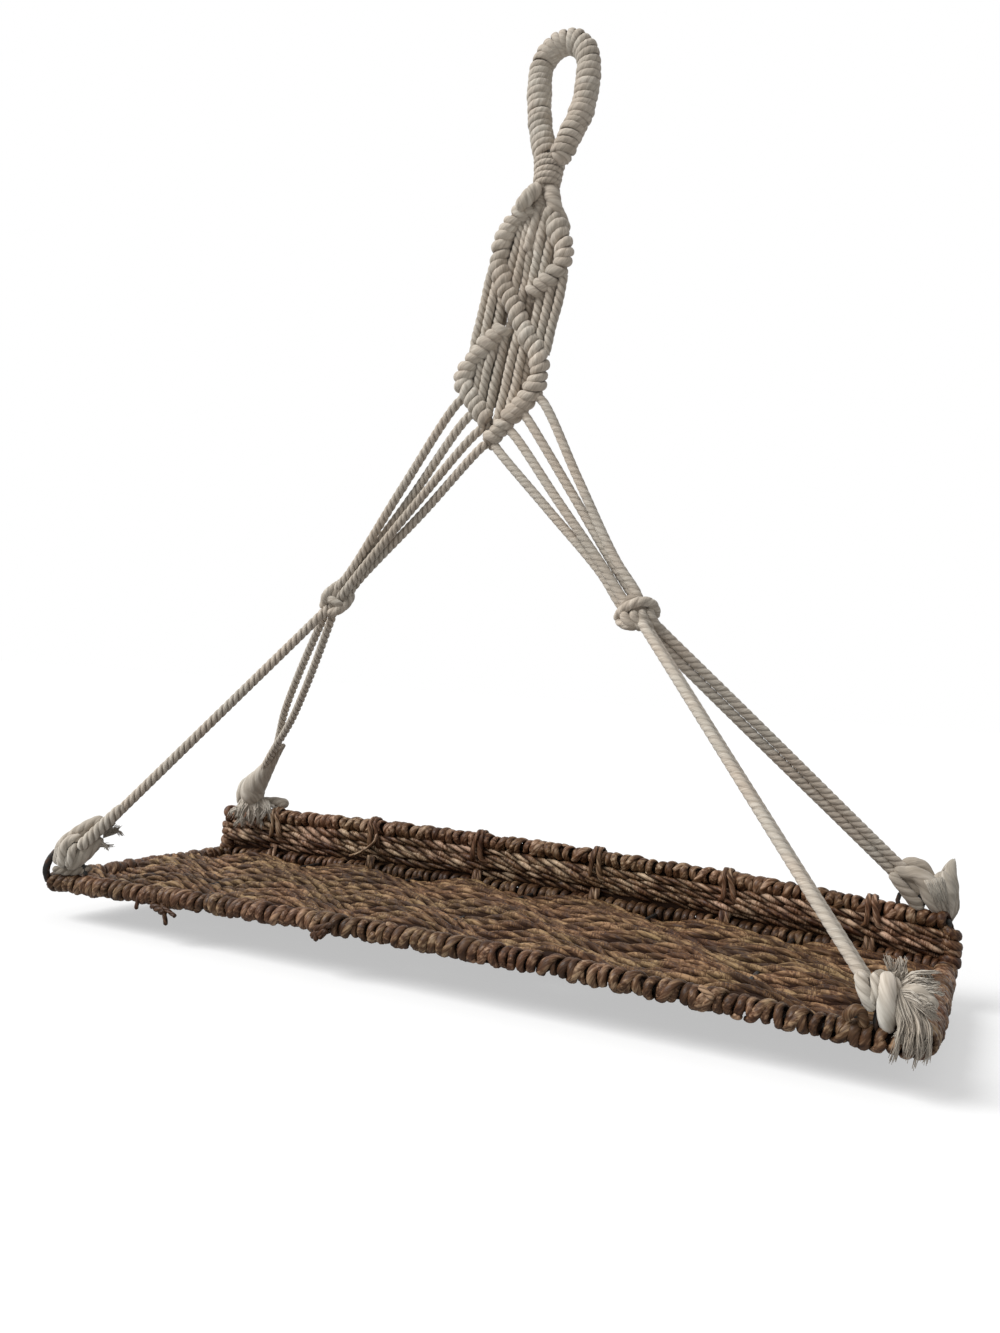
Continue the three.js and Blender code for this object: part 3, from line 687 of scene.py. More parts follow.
# %% Stand the neck's cords and wrap them
NECK_HEIGHT = 22.0
NECK_CORDS = 6
NECK_RING = 4.2
NECK_FLARE = 2.4
NECK_PITCH, NECK_REACH, NECK_THICK, NECK_CORD = 4.3, 7.5, 4.3, 5.2
NECK_FILLING = 14.5
CORE_WIDTH = 12.8
core_cords = Bundle()
# the core inside the winding gets a lower tone and crease value: painted shade
core_cords.add(round_strand(loop_core_path, CORE_WIDTH, groove=0.12), 0.45, 0.4)
for number in range(NECK_CORDS):
    around = 2 * np.pi * (number + 0.5) / NECK_CORDS
    foot = np.array([
        NECK_X + NECK_RING * np.cos(around), SLING_Y + NECK_RING * np.sin(around), PANEL_TOP - 1,
    ])
    path = evenly([foot, foot + [0, 0, NECK_HEIGHT + 6]], CORD_STEP)
    core_cords.add(round_strand(path, NECK_CORD, phase=number), 0.45)
core_cords.piece("loop_core_cords", cotton, "panel_cotton", "loop_core")

neck_foot = [NECK_X + 1.2, SLING_Y, PANEL_TOP - 1.5]
neck_head = [NECK_X + 2.8, SLING_Y, PANEL_TOP + NECK_HEIGHT + 3.5]
neck_axis = evenly([neck_foot, neck_head], 1.0)
rng = np.random.default_rng(12)
neck_path, neck_radial, neck_turn = wind(
    neck_axis, TO_BACK, 1.2, NECK_HEIGHT + 3.4, NECK_PITCH, NECK_REACH, rng, steps=30, slip=0.6,
    swell=0.5, lean=0.7, stagger=0.6,
)
flare = NECK_FLARE * (neck_turn / neck_turn[-1])
neck_path = neck_path + neck_radial * flare[:, None] * np.array([1.0, 0.5, 1.0])
neck_winding = Bundle()
add_winding(neck_winding, (neck_path, neck_radial, neck_turn), NECK_THICK, NECK_CORD, rng, tone=0.55,
            speckle=0.14, lay=9.0, groove=0.14, per_ply=6, shelter=(-0.6, 0.3))
# the filling inside the neck gets a lower tone and crease value: painted shade
neck_winding.add(rod(neck_axis, NECK_FILLING), 0.4, 0.5)
neck_winding.piece("wrapped_neck", cotton, "panel_cotton", "neck_wrap")

# %% [markdown]
# The panel's two diamonds are outlined by rows of half hitches: one cord runs along the row, and
# the other cords are tied over it one after the other. Each hitch shows as a fat turn round the
# row, so a row is wound like the loop, with a thicker cord and a longer pitch. Places on the panel
# are shares of its half width and of its height, on a middle line that leans to the left. Five
# more cords cross behind the place where the diamonds meet.

# %% Tie the rows of hitches
PANEL_HEIGHT, PANEL_TOP_X, PANEL_LEAN, DIAMOND_HALF = 178.0, 5.0, 31.0, 30.0
HITCH_PITCH = 6.6
HITCH_REACH, HITCH_THICK, HITCH_WIDTH = 4.6, 5.6, 7.0
ROW_CORE, CROSSING_CORD = 9.0, 8.0
BEHIND_PANEL = 6.0


def on_panel(side_share, down_share):
    return np.array([
        PANEL_TOP_X - PANEL_LEAN * down_share + DIAMOND_HALF * side_share,
        SLING_Y,
        PANEL_TOP - PANEL_HEIGHT * down_share,
    ])


ROW_SHARES = {
    "left_hitch_row": [
        (-.139, .054), (-.46, .085), (-.66, .125), (-.77, .19), (-.74, .275), (-.5, .35), (-.2, .425),
        (.02, .472), (.26, .535), (.55, .595), (.8, .645), (.95, .7), (.95, .77), (.76, .837),
        (.48, .893), (.23, .955), (.03, .994),
    ],
    "right_upper_hitch_row": [
        (.145, .0865), (.42, .125), (.65, .18), (.88, .247), (.9, .31), (.64, .365), (.25, .413),
    ],
    "left_lower_hitch_row": [
        (-.22, .535), (-.49, .588), (-.74, .635), (-.93, .685), (-.97, .745), (-.64, .809),
        (-.34, .865), (-.05, .915),
    ],
}
# cords that pass behind the crossing of the diamonds, as x and z at their ends
BEHIND_CROSSING = [
    ((-1, 441), (-5, 414)), ((-14, 424), (-18, 395)), ((-27, 374), (-31, 350)), ((2, 400), (-2, 370)),
    ((-8, 432), (-12, 404)),
]
row_paths = {
    name: smooth_path([on_panel(*share) for share in shares], 1.0) for name, shares in ROW_SHARES.items()
}

for seed, (node, path) in enumerate(row_paths.items()):
    rng = np.random.default_rng(20 + seed)
    row = Bundle()
    # the row's core inside the hitches gets a lower tone and crease value: painted shade
    row.add(round_strand(path, ROW_CORE, groove=0.15), 0.4, 0.4)
    hitches = wind(
        path, TO_BACK, 0.2, lengths_along(path)[-1] - 0.2, HITCH_PITCH, HITCH_REACH, rng, steps=28,
        slip=1.2, swell=0.9, lean=0.8, stagger=1.2, phase=seed,
    )
    add_winding(row, hitches, HITCH_THICK, HITCH_WIDTH, rng, uneven=0.2, lay=17.0, groove=0.09, per_ply=7,
                shelter=(-0.5, 0.35))
    if node == "left_hitch_row":
        for number, ends in enumerate(BEHIND_CROSSING):
            line = evenly([(x, SLING_Y + BEHIND_PANEL, z) for x, z in ends], CORD_STEP)
            # cords behind the crossing get a lower tone and crease value: painted shade
            row.add(round_strand(line, CROSSING_CORD, groove=0.26, phase=number), 0.4, 0.7)
    row.piece(node.replace("_row", "es"), cotton, "panel_cotton", node)

# %% [markdown]
# Straight cords fill the diamonds and run down beside them. Each goes from one row to the next
# and ends inside the hitches that hold it. A short search along the cord finds where it meets
# them. Behind them lies a second layer of cords, a little to one side, which shows in the gaps
# between the cords in front. Its lower tone and crease value are painted shade.

# %% Hang the panel's cords
row_points = np.vstack(list(row_paths.values()))
INSIDE_ROW = 5.0
ASIDE_RIGHT, ASIDE_LEFT = 0.3, -6.1
SEARCH_UP, SEARCH_DOWN = 0.26, 0.3
PANEL_CORD, CORD_BEHIND, PANEL_GROOVE = 6.8, 6.2, 0.26
CORD_SHARES = {
    # how far down, the cords' sides, how far aside the cord behind each lies, and behind the first one
    "upper_diamond_cord": (0.23, [-.4, -.185, .025, .235, .445], [ASIDE_RIGHT], [ASIDE_RIGHT, ASIDE_LEFT]),
    "left_side_cord": (0.47, [-.92, -.69, -.46], [ASIDE_RIGHT], [ASIDE_RIGHT]),
    "right_side_cord": (0.47, [.52, .76, 1], [ASIDE_LEFT], [ASIDE_LEFT]),
    "lower_diamond_cord": (0.74, [-.6, -.37, -.14, .16, .4], [ASIDE_RIGHT], [ASIDE_RIGHT, ASIDE_LEFT]),
}


def reach_row(start, toward):
    line = evenly([start, toward], 0.5)
    for index, point in enumerate(line[4:], start=4):
        if np.min(np.linalg.norm(row_points - point, axis=1)) < INSIDE_ROW:
            return line[: index + 1]
    return line


for group_number, (group, (down, sides, others, first)) in enumerate(CORD_SHARES.items()):
    for number, side_share in enumerate(sides, start=1):
        rng = np.random.default_rng(40 + 10 * group_number + number)
        high = reach_row(on_panel(side_share, down), on_panel(side_share, down - SEARCH_UP))
        low = reach_row(on_panel(side_share, down), on_panel(side_share, down + SEARCH_DOWN))
        line = evenly(np.vstack([high[::-1], low[1:]]), CORD_STEP)
        sway = lengths_along(line)
        line[:, 0] += drift(sway, 16, 0.7, rng)
        line[:, 1] += drift(sway, 14, 0.9, rng) + (number % 2) * 1.2
        hung = Bundle()
        front_cord = round_strand(line, PANEL_CORD, groove=PANEL_GROOVE, phase=rng.uniform(0, 6))
        hung.add(front_cord, 0.48 + rng.uniform(-0.1, 0.1))
        for shift in (first if number == 1 else others):
            behind = line[3:-3] + [shift, BEHIND_PANEL, 0]
            # the cord behind gets a lower tone and crease value: painted shade
            hung.add(domed_strand(behind, CORD_BEHIND, groove=PANEL_GROOVE, phase=number), 0.4, 0.75)
        hung.piece(f"{group}_{number}_rope", cotton, "panel_cotton", f"{group}_{number}")

# %% [markdown]
# Four cords a side leave the panel and draw together, two by two, in a gather knot. They start
# inside the last hitches and end inside the knot. Those on the right are stretched smoother than
# those on the left, so their grooves are shallower.

# %% Hang the sling cords
GATHER_RADIUS, PAIR_SPREAD, SEAT = 11.0, 6.4, 0.3
ROW_TUCK, KNOT_TUCK = 3.0, 9
SLING_CORD = 6.6
MERGE_ABOVE = {"left": 16.0, "right": 27.0}
SLING_GROOVES = {"left": 0.3, "right": 0.12}
GATHER_KNOTS = {"left": np.array([-143.0, SLING_Y, 213.0]), "right": np.array([95.0, SLING_Y, 213.0])}
SLING_STARTS = {
    "left": [(-.99, .826), (-.63, .888), (-.28, .949), (-.02, 1.003)],
    "right": [(1.22, .837), (1, .915), (.73, .972), (.4, 1.03)],
}
# how far outward and how far to the back each cord enters its knot
KNOT_ENTRIES = {
    "left": [(3.2, -3.2), (3.2, 3.2), (-3.2, -3.2), (-3.2, 3.2)],
    "right": [(7.2, -1.5), (3.2, 3.0), (-2.2, -3.2), (-6.6, 1.5)],
}
bundle_up = {}
for side, knot in GATHER_KNOTS.items():
    starts = [on_panel(*share) for share in SLING_STARTS[side]]
    up = unit((starts[1] + starts[2]) / 2 - knot)
    bundle_up[side] = up
    across = np.array([-up[2], 0, up[0]]) * (1 if side == "left" else -1)
    for number, (start, (outward, to_back)) in enumerate(zip(starts, KNOT_ENTRIES[side])):
        end = knot + up * (GATHER_RADIUS + SEAT) + across * outward + [0, to_back, 0]
        near = end + up * MERGE_ABOVE[side]
        merge = (start + near) / 2
        merge[1] = end[1]
        inside = end - up * KNOT_TUCK - across * outward * 0.3
        nearest = row_points[np.argmin(np.linalg.norm(row_points - start, axis=1))]
        tucked = nearest + [0, ROW_TUCK, 0]
        line = smooth_path([tucked, start, merge, near, end, inside], CORD_STEP)
        hung = Bundle()
        sling_cord = round_strand(line, SLING_CORD, groove=SLING_GROOVES[side], phase=1.3 * number)
        hung.add(sling_cord, 0.52 + 0.015 * to_back)
        name, node = f"{side}_sling_rope_{number + 1}", f"{side}_sling_cord_{number + 1}"
        hung.piece(name, cotton, "sling_cotton", node)

# %% [markdown]
# From each gather knot a pair of cords goes down to each corner on its side. The two cords at the
# back left turn by about a third round each other on the way, so one crosses in front of the
# other. The pairs differ a little in thickness and in how deep their grooves are.

# %% Hang the lower cords
CORNERS = {
    # where the knot is and how high, how its pair lies apart, bulges and turns, and the cords' look
    "front_left": {"middle": (-268.0, 0.0), "knot": 32.0, "spread": (-.62, .78, 0), "bulge": 0,
                   "turns": 0, "thick": 7.2, "groove": 0.34},
    "back_left": {"middle": (-268.0, 197.0), "knot": 24.0, "spread": (.8, 0, -.6), "bulge": 2.4,
                  "turns": 0.32, "thick": 6.4, "groove": 0.3},
    "front_right": {"middle": (268.0, 0.0), "knot": 27.0, "spread": (.22, .94, -.26), "bulge": 0,
                    "turns": 0, "thick": 6.6, "groove": 0.12},
    "back_right": {"middle": (268.0, 197.0), "knot": 28.0, "spread": (.75, 0, .66), "bulge": 0.3,
                   "turns": 0, "thick": 7.0, "groove": 0.2},
}
TRAY_LENGTH, TRAY_DEPTH, TRAY_BOW = 584.0, 197.0, 7.0
LIP_HEIGHT, LIP_DROP = 35.5, 5.0
RIM_WRAP, LIP_WRAP = 15.0, 12.0
PAIR_PLACES = 15
TURN_BEGINS, TURN_ENDS = 0.5, 0.95
BULGE_ENDS = 0.75
PAIR_TUCK = 6


def bow_at(x):
    return TRAY_BOW * (0.5 - (2 * np.asarray(x, dtype=float) / TRAY_LENGTH) ** 2)


def lip_at(x):
    return bow_at(x) + LIP_HEIGHT - LIP_DROP * (np.asarray(x, dtype=float) / TRAY_LENGTH + 0.5) ** 2


knot_middles = {}
for corner, facts in CORNERS.items():
    x, y = facts["middle"]
    rod_height = bow_at(x) + RIM_WRAP / 2 if y == 0 else lip_at(x) + LIP_WRAP / 2
    foot = np.array([x, y, float(rod_height) + SEAT + facts["knot"] / 2])
    knot_middles[corner] = foot
    top = GATHER_KNOTS["left" if x < 0 else "right"]
    down = unit(foot - top)
    start = top + down * (GATHER_RADIUS + SEAT)
    end = foot - down * CORD
    spread = np.array(facts["spread"])
    spread = unit(spread - down * np.dot(spread, down))
    beside = np.cross(down, spread)
    for number in (1, 2):
        places = []
        for share in np.linspace(0, 1, PAIR_PLACES):
            angle = 2 * np.pi * facts["turns"] * eased(share, TURN_BEGINS, TURN_ENDS)
            bulge = np.sin(np.pi * min(share / BULGE_ENDS, 1))
            reach = PAIR_SPREAD / 2 + facts["bulge"] * bulge
            offset = (spread * np.cos(angle) + beside * np.sin(angle)) * (-reach if number == 1 else reach)
            places.append(start + (end - start) * share + offset)
        first = places[0] - down * PAIR_TUCK - (places[0] - start) * 0.35
        line = smooth_path([first] + places, CORD_STEP)
        hung = Bundle()
        hung.add(round_strand(line, facts["thick"], groove=facts["groove"], phase=2.0 * number), 0.56)
        hung.piece(f"{corner}_rope_{number}", cotton, "sling_cotton", f"{corner}_cord_{number}")
print("knots at", {corner: np.round(place, 1).tolist() for corner, place in knot_middles.items()})

# %% [markdown]
# A gather knot is one cord taken twice round the bundle and drawn tight, so it shows as two or
# three leaning turns, with the cords of the bundle fanning out below. The crown knot between neck
# and panel is two fat lobes that part in a V, over the cords that run on behind them. A knot can't
# be laid by rule, so each of its strands follows places read in the plane that the camera sees:
# so far to the right, so far away from the viewer, so far up from the knot's middle.

# %% Tie the gather knots and the crown knot
def seen_from_camera(middle, places):
    places = np.asarray(places, dtype=float)
    away = unit(middle - CAMERA_PLACE)
    return middle + places[:, :1] * camera_right + places[:, 1:2] * away + places[:, 2:3] * camera_up


def knot_strand(middle, places, groove=0.14, flat=1.0, lay=20.0, **look):
    """A fat strand through places of right, away, up and width."""
    places = np.asarray(places, dtype=float)
    path = smooth_path(seen_from_camera(middle, places[:, :3]), 0.9)
    marks = lengths_along(places[:, :3])
    share = lengths_along(path) / lengths_along(path)[-1]
    width = domed(path, np.interp(share, marks / marks[-1], places[:, 3]))
    normals = carried_normals(path)
    if flat < 1:
        normals = np.broadcast_to(unit(CAMERA_PLACE - middle), path.shape)
    return lay_strand(path, normals, width * flat, width, groove=groove, lay=lay, **look)


GATHER_CORES = {"left": 15.0, "right": 19.0}
GATHER_TURNS = {
    "left": [
        [(8, 5, 17, 6), (6.2, 1, 15.5, 6.2), (-1.2, -4, 10.3, 6.4), (-6.1, -6, 5.4, 6.6),
         (-7.3, -4, .4, 6.4), (-9, -2, -5, 6)],
        [(9, 6, 10, 6), (12.4, 1, 4.7, 6.6), (8.6, -4, -1.6, 7.2), (2.5, -7, -6, 7.2),
         (-3.2, -5, -7.8, 6.6), (-7, 1, -6, 5.5)],
        [(-7.5, -2, 4, 5), (-1.2, -7.5, 1.6, 6), (3.8, -7.5, -1.6, 6), (8, -2, -6, 5)],
        [(-8, 0, 2, 6), (-4, 6, 6, 7), (4, 8, 4, 7), (10, 5, 2, 6.5)],
    ],
    "right": [
        [(-13.2, 3, -4, 5.6), (-12.3, -2, -1, 6), (-8.9, -6, 3, 6.4), (-2.9, -8.5, 6.4, 6.6),
         (3.7, -8.5, 8, 6.8), (9.4, -6, 6.6, 6.8), (12.2, -1, 1.8, 6.6), (12, 3, -2.8, 6)],
        [(-13, 2, -3.6, 5.6), (-10, -4, -6.6, 6), (-5.3, -7, -8.2, 6), (0, -6, -8.6, 5)],
        [(11, 3, -2, 6), (6, 8, -5, 6.5), (-2, 9, -6, 6.5), (-10, 6, -5, 6)],
        [(-8.5, -6, 2, 6), (-8, -7, -2, 6.6), (-5.5, -7.5, -6, 6.8), (-2, -6, -9, 6.4)],
        [(-2.5, -8.5, 2.6, 5.5), (-2, -8.2, -2, 6.6), (0, -7.5, -6, 6.8), (3.4, -7, -11, 6.4)],
        [(3, -8.5, 3.4, 5.5), (3.6, -8.5, -2, 6.6), (6.6, -7.5, -7.6, 6.8), (10, -7, -14, 6.4)],
        [(7.5, -6, 4, 5.5), (9, -6, -2, 6.8), (12.2, -4, -7.6, 7), (16.5, 0, -13.5, 6.4)],
    ],
}
CROWN_MIDDLE = np.array([5.0, SLING_Y, 500.0])
CROWN_LOBES = [
    [(-1, 2, 11, 7), (-4.5, -3, 8, 10), (-9, -4, 4, 11), (-13.5, -3, -1, 10.4), (-18.5, 0, -6, 8)],
    [(3, 2, 11, 7), (5, -3, 7.5, 10.5), (7, -4.5, 1, 11.6), (8.6, -3.5, -6, 10.6), (10.5, 0, -12, 8)],
    [(9, 0, -4, 8), (11.5, -2, -10, 9), (14, -1, -16, 9.2), (16.6, 1, -23, 8)],
    [(-3, 1, -3, 6), (-4.5, 0, -12, 6.8), (-8.5, 1, -24, 6.8), (-12, 2, -36, 6)],
    [(2, 1, -3, 6), (1.5, -1, -12, 6.8), (-2, 0, -24, 6.8), (-5.5, 2, -38, 6)],
    [(6, 1, -3, 6), (6, 0, -12, 6.8), (4, 1, -24, 6.8), (1, 2, -36, 6)],
    [(-1.5, 4, 12, 9), (-1.6, 4, 0, 12), (-2, 5, -14, 12)],
]


def tie_knot(middle, strands, tone):
    tied = Bundle()
    for number, places in enumerate(strands):
        tied.add(knot_strand(middle, places, phase=number), tone)
    return tied


for side, knot in GATHER_KNOTS.items():
    tied = tie_knot(knot, GATHER_TURNS[side], 0.5)
    core = evenly([knot + bundle_up[side] * 14, knot - bundle_up[side] * 8], CORD_STEP)
    # the bundle's core inside the knot gets a lower tone and crease value: painted shade
    tied.add(domed_strand(core, GATHER_CORES[side], lay=40, groove=0.2), 0.4, 0.5)
    tied.piece(f"{side}_gather_turns", cotton, "sling_cotton", f"{side}_gather_knot")
tie_knot(CROWN_MIDDLE, CROWN_LOBES, 0.52).piece("crown_lobes", cotton, "panel_cotton", "crown_knot")

# %% [markdown]
# Each corner is tied round its wire eye with the cords' own ends, which are then left frayed. The
# knots are all different, so each strand has its own path, as in the gather knots, and its own
# tone and lay. A short lay is a hard twist with deep grooves. From a lay of fifty on, the cord has
# come loose: it is opened flat toward the viewer, in six soft parts. A strand that lies deep in the
# knot, or low in it, gets a darker tone, which is painted shade; the darkest of them get a lower
# crease value as well, which is painted shade too.

# %% Tie the corner knots
LOOSE_LAY, LOOSE_FLAT, LOOSE_PARTS = 50, 0.75, 6
DEEP_TONE, DEEP_SHADE = 0.3, 0.55
CORNER_TIES = {
    # tone, lay, then places of right, away, up and width
    "front_left": [
        (.62, 15, [(31, -4, 31.4, 7.6), (22.4, -5, 22.8, 8.8), (12.4, -6, 13.5, 9), (3.1, -8, 4.9, 8.4),
                   (0, -7, 1.5, 7)]),
        (.45, 24, [(18, 3, 22, 7), (12, 3, 20.5, 8), (5, 3, 17, 8.5), (-4, 2, 11, 8.5), (-11.5, 1, 5, 8),
                   (-14.5, 0, -3, 7.5), (-15.5, -1, -10, 6)]),
        (.66, 24, [(2, -3, 9.5, 6), (-5, -5, 8, 6.8), (-10.5, -6, 2.8, 7), (-12, -6, -5.5, 6.8),
                   (-12.5, -5, -12, 5.5)]),
        (.6, 24, [(-1, -5, 5, 5), (-4.5, -7, 1, 5.8), (-6.1, -7, -5, 6), (-8, -6, -11.5, 5)]),
        (.36, 50, [(17, -1, 8.5, 5), (11, -2, 4.5, 9.5), (5, -3, -1, 11), (-2, -3, -7.5, 10),
                   (-9, -2, -12, 8)]),
        (.25, 19, [(-19, 0, -12.9, 5), (-10.6, 0, -14, 7), (-.7, -1, -14, 7), (5, -2, -13, 6),
                   (9, -1, -12, 4)]),
        (.3, 50, [(12, 4, 17, 8), (3, 3, 11, 12), (-6, 3, 4, 13), (-9, 2, -5, 12), (-10, 1, -12, 8)]),
    ],
    "front_right": [
        (.6, 24, [(-8, -2, 11, 6), (-6, -4, 4, 7.4), (-4, -5, -2, 7.2), (-1, -5, -9, 5)]),
        (.66, 19, [(-.5, -4, 10.5, 4.5), (.5, -6, 5, 5.4), (0, -7, 0, 5.4), (-1.5, -6.5, -5.5, 4.8)]),
        (.7, 48, [(7, -2, 10, 6), (6.3, -6, 6.5, 8.6), (5.8, -8.5, 1, 9.6), (5.7, -9, -5, 9.8),
                  (5.9, -8, -11, 9.6), (6.2, -5, -16, 7.5), (6.6, 0, -17, 6)]),
        (.6, 19, [(9.5, -2, 9, 5), (10.5, -5, 4, 6), (10.5, -6, -3, 6), (10.5, -4, -9, 5)]),
        (.3, 50, [(3, 2, 12, 8), (3, 1, 2, 14), (4, 1, -10, 12)]),
        (.45, 50, [(12, -6, 0, 6), (16, -10, -8, 9), (17.5, -12.5, -18, 11), (16.5, -14, -27, 11)]),
        (.45, 24, [(13, -6, 0, 5), (20, -10, 1, 8), (26, -12, -3, 8), (30, -13, -8, 5)]),
    ],
    "back_left": [
        (.55, 60, [(23.6, -38, 41.5, 3), (17.6, -32, 34.5, 7), (10.8, -24, 24.4, 11), (2.5, -14, 12.3, 17),
                   (-2.8, -9, 4.1, 21), (-3.5, -8, -3, 21), (-3, -5, -9, 17)]),
        (.6, 30, [(2, -1, 20, 5), (-5, -2, 14, 6.5), (-11.5, -4, 8, 7), (-14, -4, 1, 7), (-14.5, -4, -5, 6),
                  (-15, -1, -8, 5)]),
        (.5, 30, [(2, -2, -6, 6), (8.4, -3, -6.7, 8), (16.9, -5, -7.3, 9), (23.4, -8, -8.4, 9),
                  (27.2, -10, -10, 7)]),
    ],
    "back_right": [
        (.38, 50, [(-7, 3, 10, 6), (-3, 3, 13, 8), (1.6, 3, 12.5, 10), (7, 3, 10.5, 10), (11, 2, 6, 8),
                  (13, 1, 1, 7)]),
        (.4, 60, [(-11, -2, 11, 7), (-5, -4, 7.5, 8.5), (2, -6, 6.5, 10), (7.5, -7, 3, 12.5),
                   (11.5, -7.5, -2, 14.5), (14.2, -7.5, -8, 15), (17, -7, -14, 12), (20.8, -5, -20, 9),
                   (23.5, -3, -24.5, 5)]),
        (.34, 24, [(-14, -2, 7, 6), (-9.5, -4, 1.5, 7.2), (-4, -4, -5, 8), (2, -3, -12, 9),
                   (7, -2, -17, 8)]),
        (.36, 60, [(-6, 2, 9, 9), (2, 1, 1, 15), (9, 0, -8, 15)]),
        (.38, 60, [(22, -3, 8, 5), (20.5, -5, 3, 13), (20.5, -6, -5, 17), (21.5, -5, -13, 13.5),
                  (23.5, -3, -20, 8), (24.5, -1, -25, 4)]),
        (.38, 60, [(28, -1, 16, 3), (26, -1, 11, 7.5), (24.5, -2, 5, 11), (25, -2, -2, 12),
                   (25.3, -2, -10, 11.5), (25.5, -2, -18, 8), (24.8, -1, -25, 4)]),
    ],
}
corner_knots = {}
for corner, strands in CORNER_TIES.items():
    corner_knots[corner] = Bundle()
    for number, (strand_tone, strand_lay, places) in enumerate(strands):
        groove = float(np.interp(strand_lay, (15, 24, 60), (0.32, 0.18, 0.06)))
        loose = strand_lay >= LOOSE_LAY
        tied_strand = knot_strand(
            knot_middles[corner], places, groove=groove, lay=strand_lay, flat=LOOSE_FLAT if loose else 1.0,
            plies=LOOSE_PARTS if loose else PLIES, phase=number, per_ply=6,
        )
        corner_knots[corner].add(tied_strand, strand_tone, DEEP_SHADE if strand_tone <= DEEP_TONE else 1.0)
print("knots", {corner: len(knot.strands) for corner, knot in corner_knots.items()})

# %% [markdown]
# A frayed end is hundreds of fine yarns. They hang in locks of sixteen, which draw together
# toward their tips, and end at different lengths. They are drawn between two edges, so that the
# outline of the brush can follow the real one, with every yarn a little off its line. Each yarn
# has three sides and few rings, because there are so many of them.

# %% Fray the cord ends
YARNS_IN_LOCK = 16
YARN_WIDTH = 0.8
FRAYED_ENDS = {
    # left edge, right edge (right, away, up), yarns, fullness, stray, tone
    "front_left": [
        ([(17, 0, 14), (23, -1, 18), (30, -2, 20)], [(17, 0, 9), (23, -1, 11), (31, -2, 12)],
         70, 1.5, 2.6, .4),
        ([(11, -1, 5), (17, -2, 6), (25, -2, 4)], [(11, -1, 1), (17, -2, 3), (25, -2, -4)],
         40, 1.2, 2.6, .5),
        ([(-16, -4, 2), (-17, -5, -5), (-15, -5, -12)], [(-8, -6, 3), (-9, -8, -5), (-7, -7, -13)],
         60, 1.2, 1.6, .6),
    ],
    "front_right": [
        ([(8, -3, 5), (8, -5, 11), (4.6, -6, 16)], [(14, -3, 6), (16, -5, 9.5), (19, -6, 14)],
         60, 2.0, 4.5, .6),
        ([(12, -3, 5), (17, -6, 9), (24, -9, 10.5), (31, -11, 10)],
         [(13, -5, 0), (20, -9, 3), (28, -12, 2), (36, -14, -2)], 170, 2.5, 2.6, .6),
        ([(12, -6, 3), (19, -11, 2), (27, -14, -3), (33, -16, -10)],
         [(11, -7, -2), (17, -12, -4), (24, -15, -10), (29, -17, -15)], 200, 2.5, 2.4, .5),
        ([(10.5, -6, 2), (10.5, -11, -6), (11.8, -15, -16), (9.7, -18, -23), (7, -19, -34)],
         [(15, -7, 1), (21, -12, -6), (26.5, -16, -15), (27, -18, -24), (24, -19, -34)], 440, 4.0, 2.6, .5),
    ],
    "back_left": [
        ([(-12, -10, -3), (-18, -12, -12), (-26.8, -13, -18)],
         [(-6, -11, -5), (-10, -13, -15), (-14.4, -13, -28)], 110, 2.2, 3.6, .85),
        ([(-7, -11, -5), (-10, -13, -16), (-14, -13, -26)], [(0, -11, -6), (1, -13, -16), (2, -13, -29)],
         120, 2.2, 3.6, .8),
        ([(-1, -11, -6), (-1, -13, -16), (-2, -14, -28)], [(7, -9, -4), (13, -14, -10), (20, -15, -18)],
         150, 2.2, 3.6, .85),
    ],
    "back_right": [
        ([(20, -3, -24), (17, -5, -13), (15, -5, -2), (18, -3, 6), (28, 0, 16)],
         [(26, -3, -26), (31, -3, -17), (30.5, -2, -4), (29.3, 0, 7), (28.6, 0, 16)], 420, 2.6, .7, .5),
        ([(8, -12, 2), (12, -15, -6), (17, -11, -16), (22, -5, -25)],
         [(20, -11, 4), (23, -13, -6), (25, -9, -16), (25, -4, -25)], 240, 1.6, .9, .5),
    ],
}


def sample(path, shares):
    return read_at(np.clip(shares, 0, 1) * (len(path) - 1), np.arange(len(path)), path)


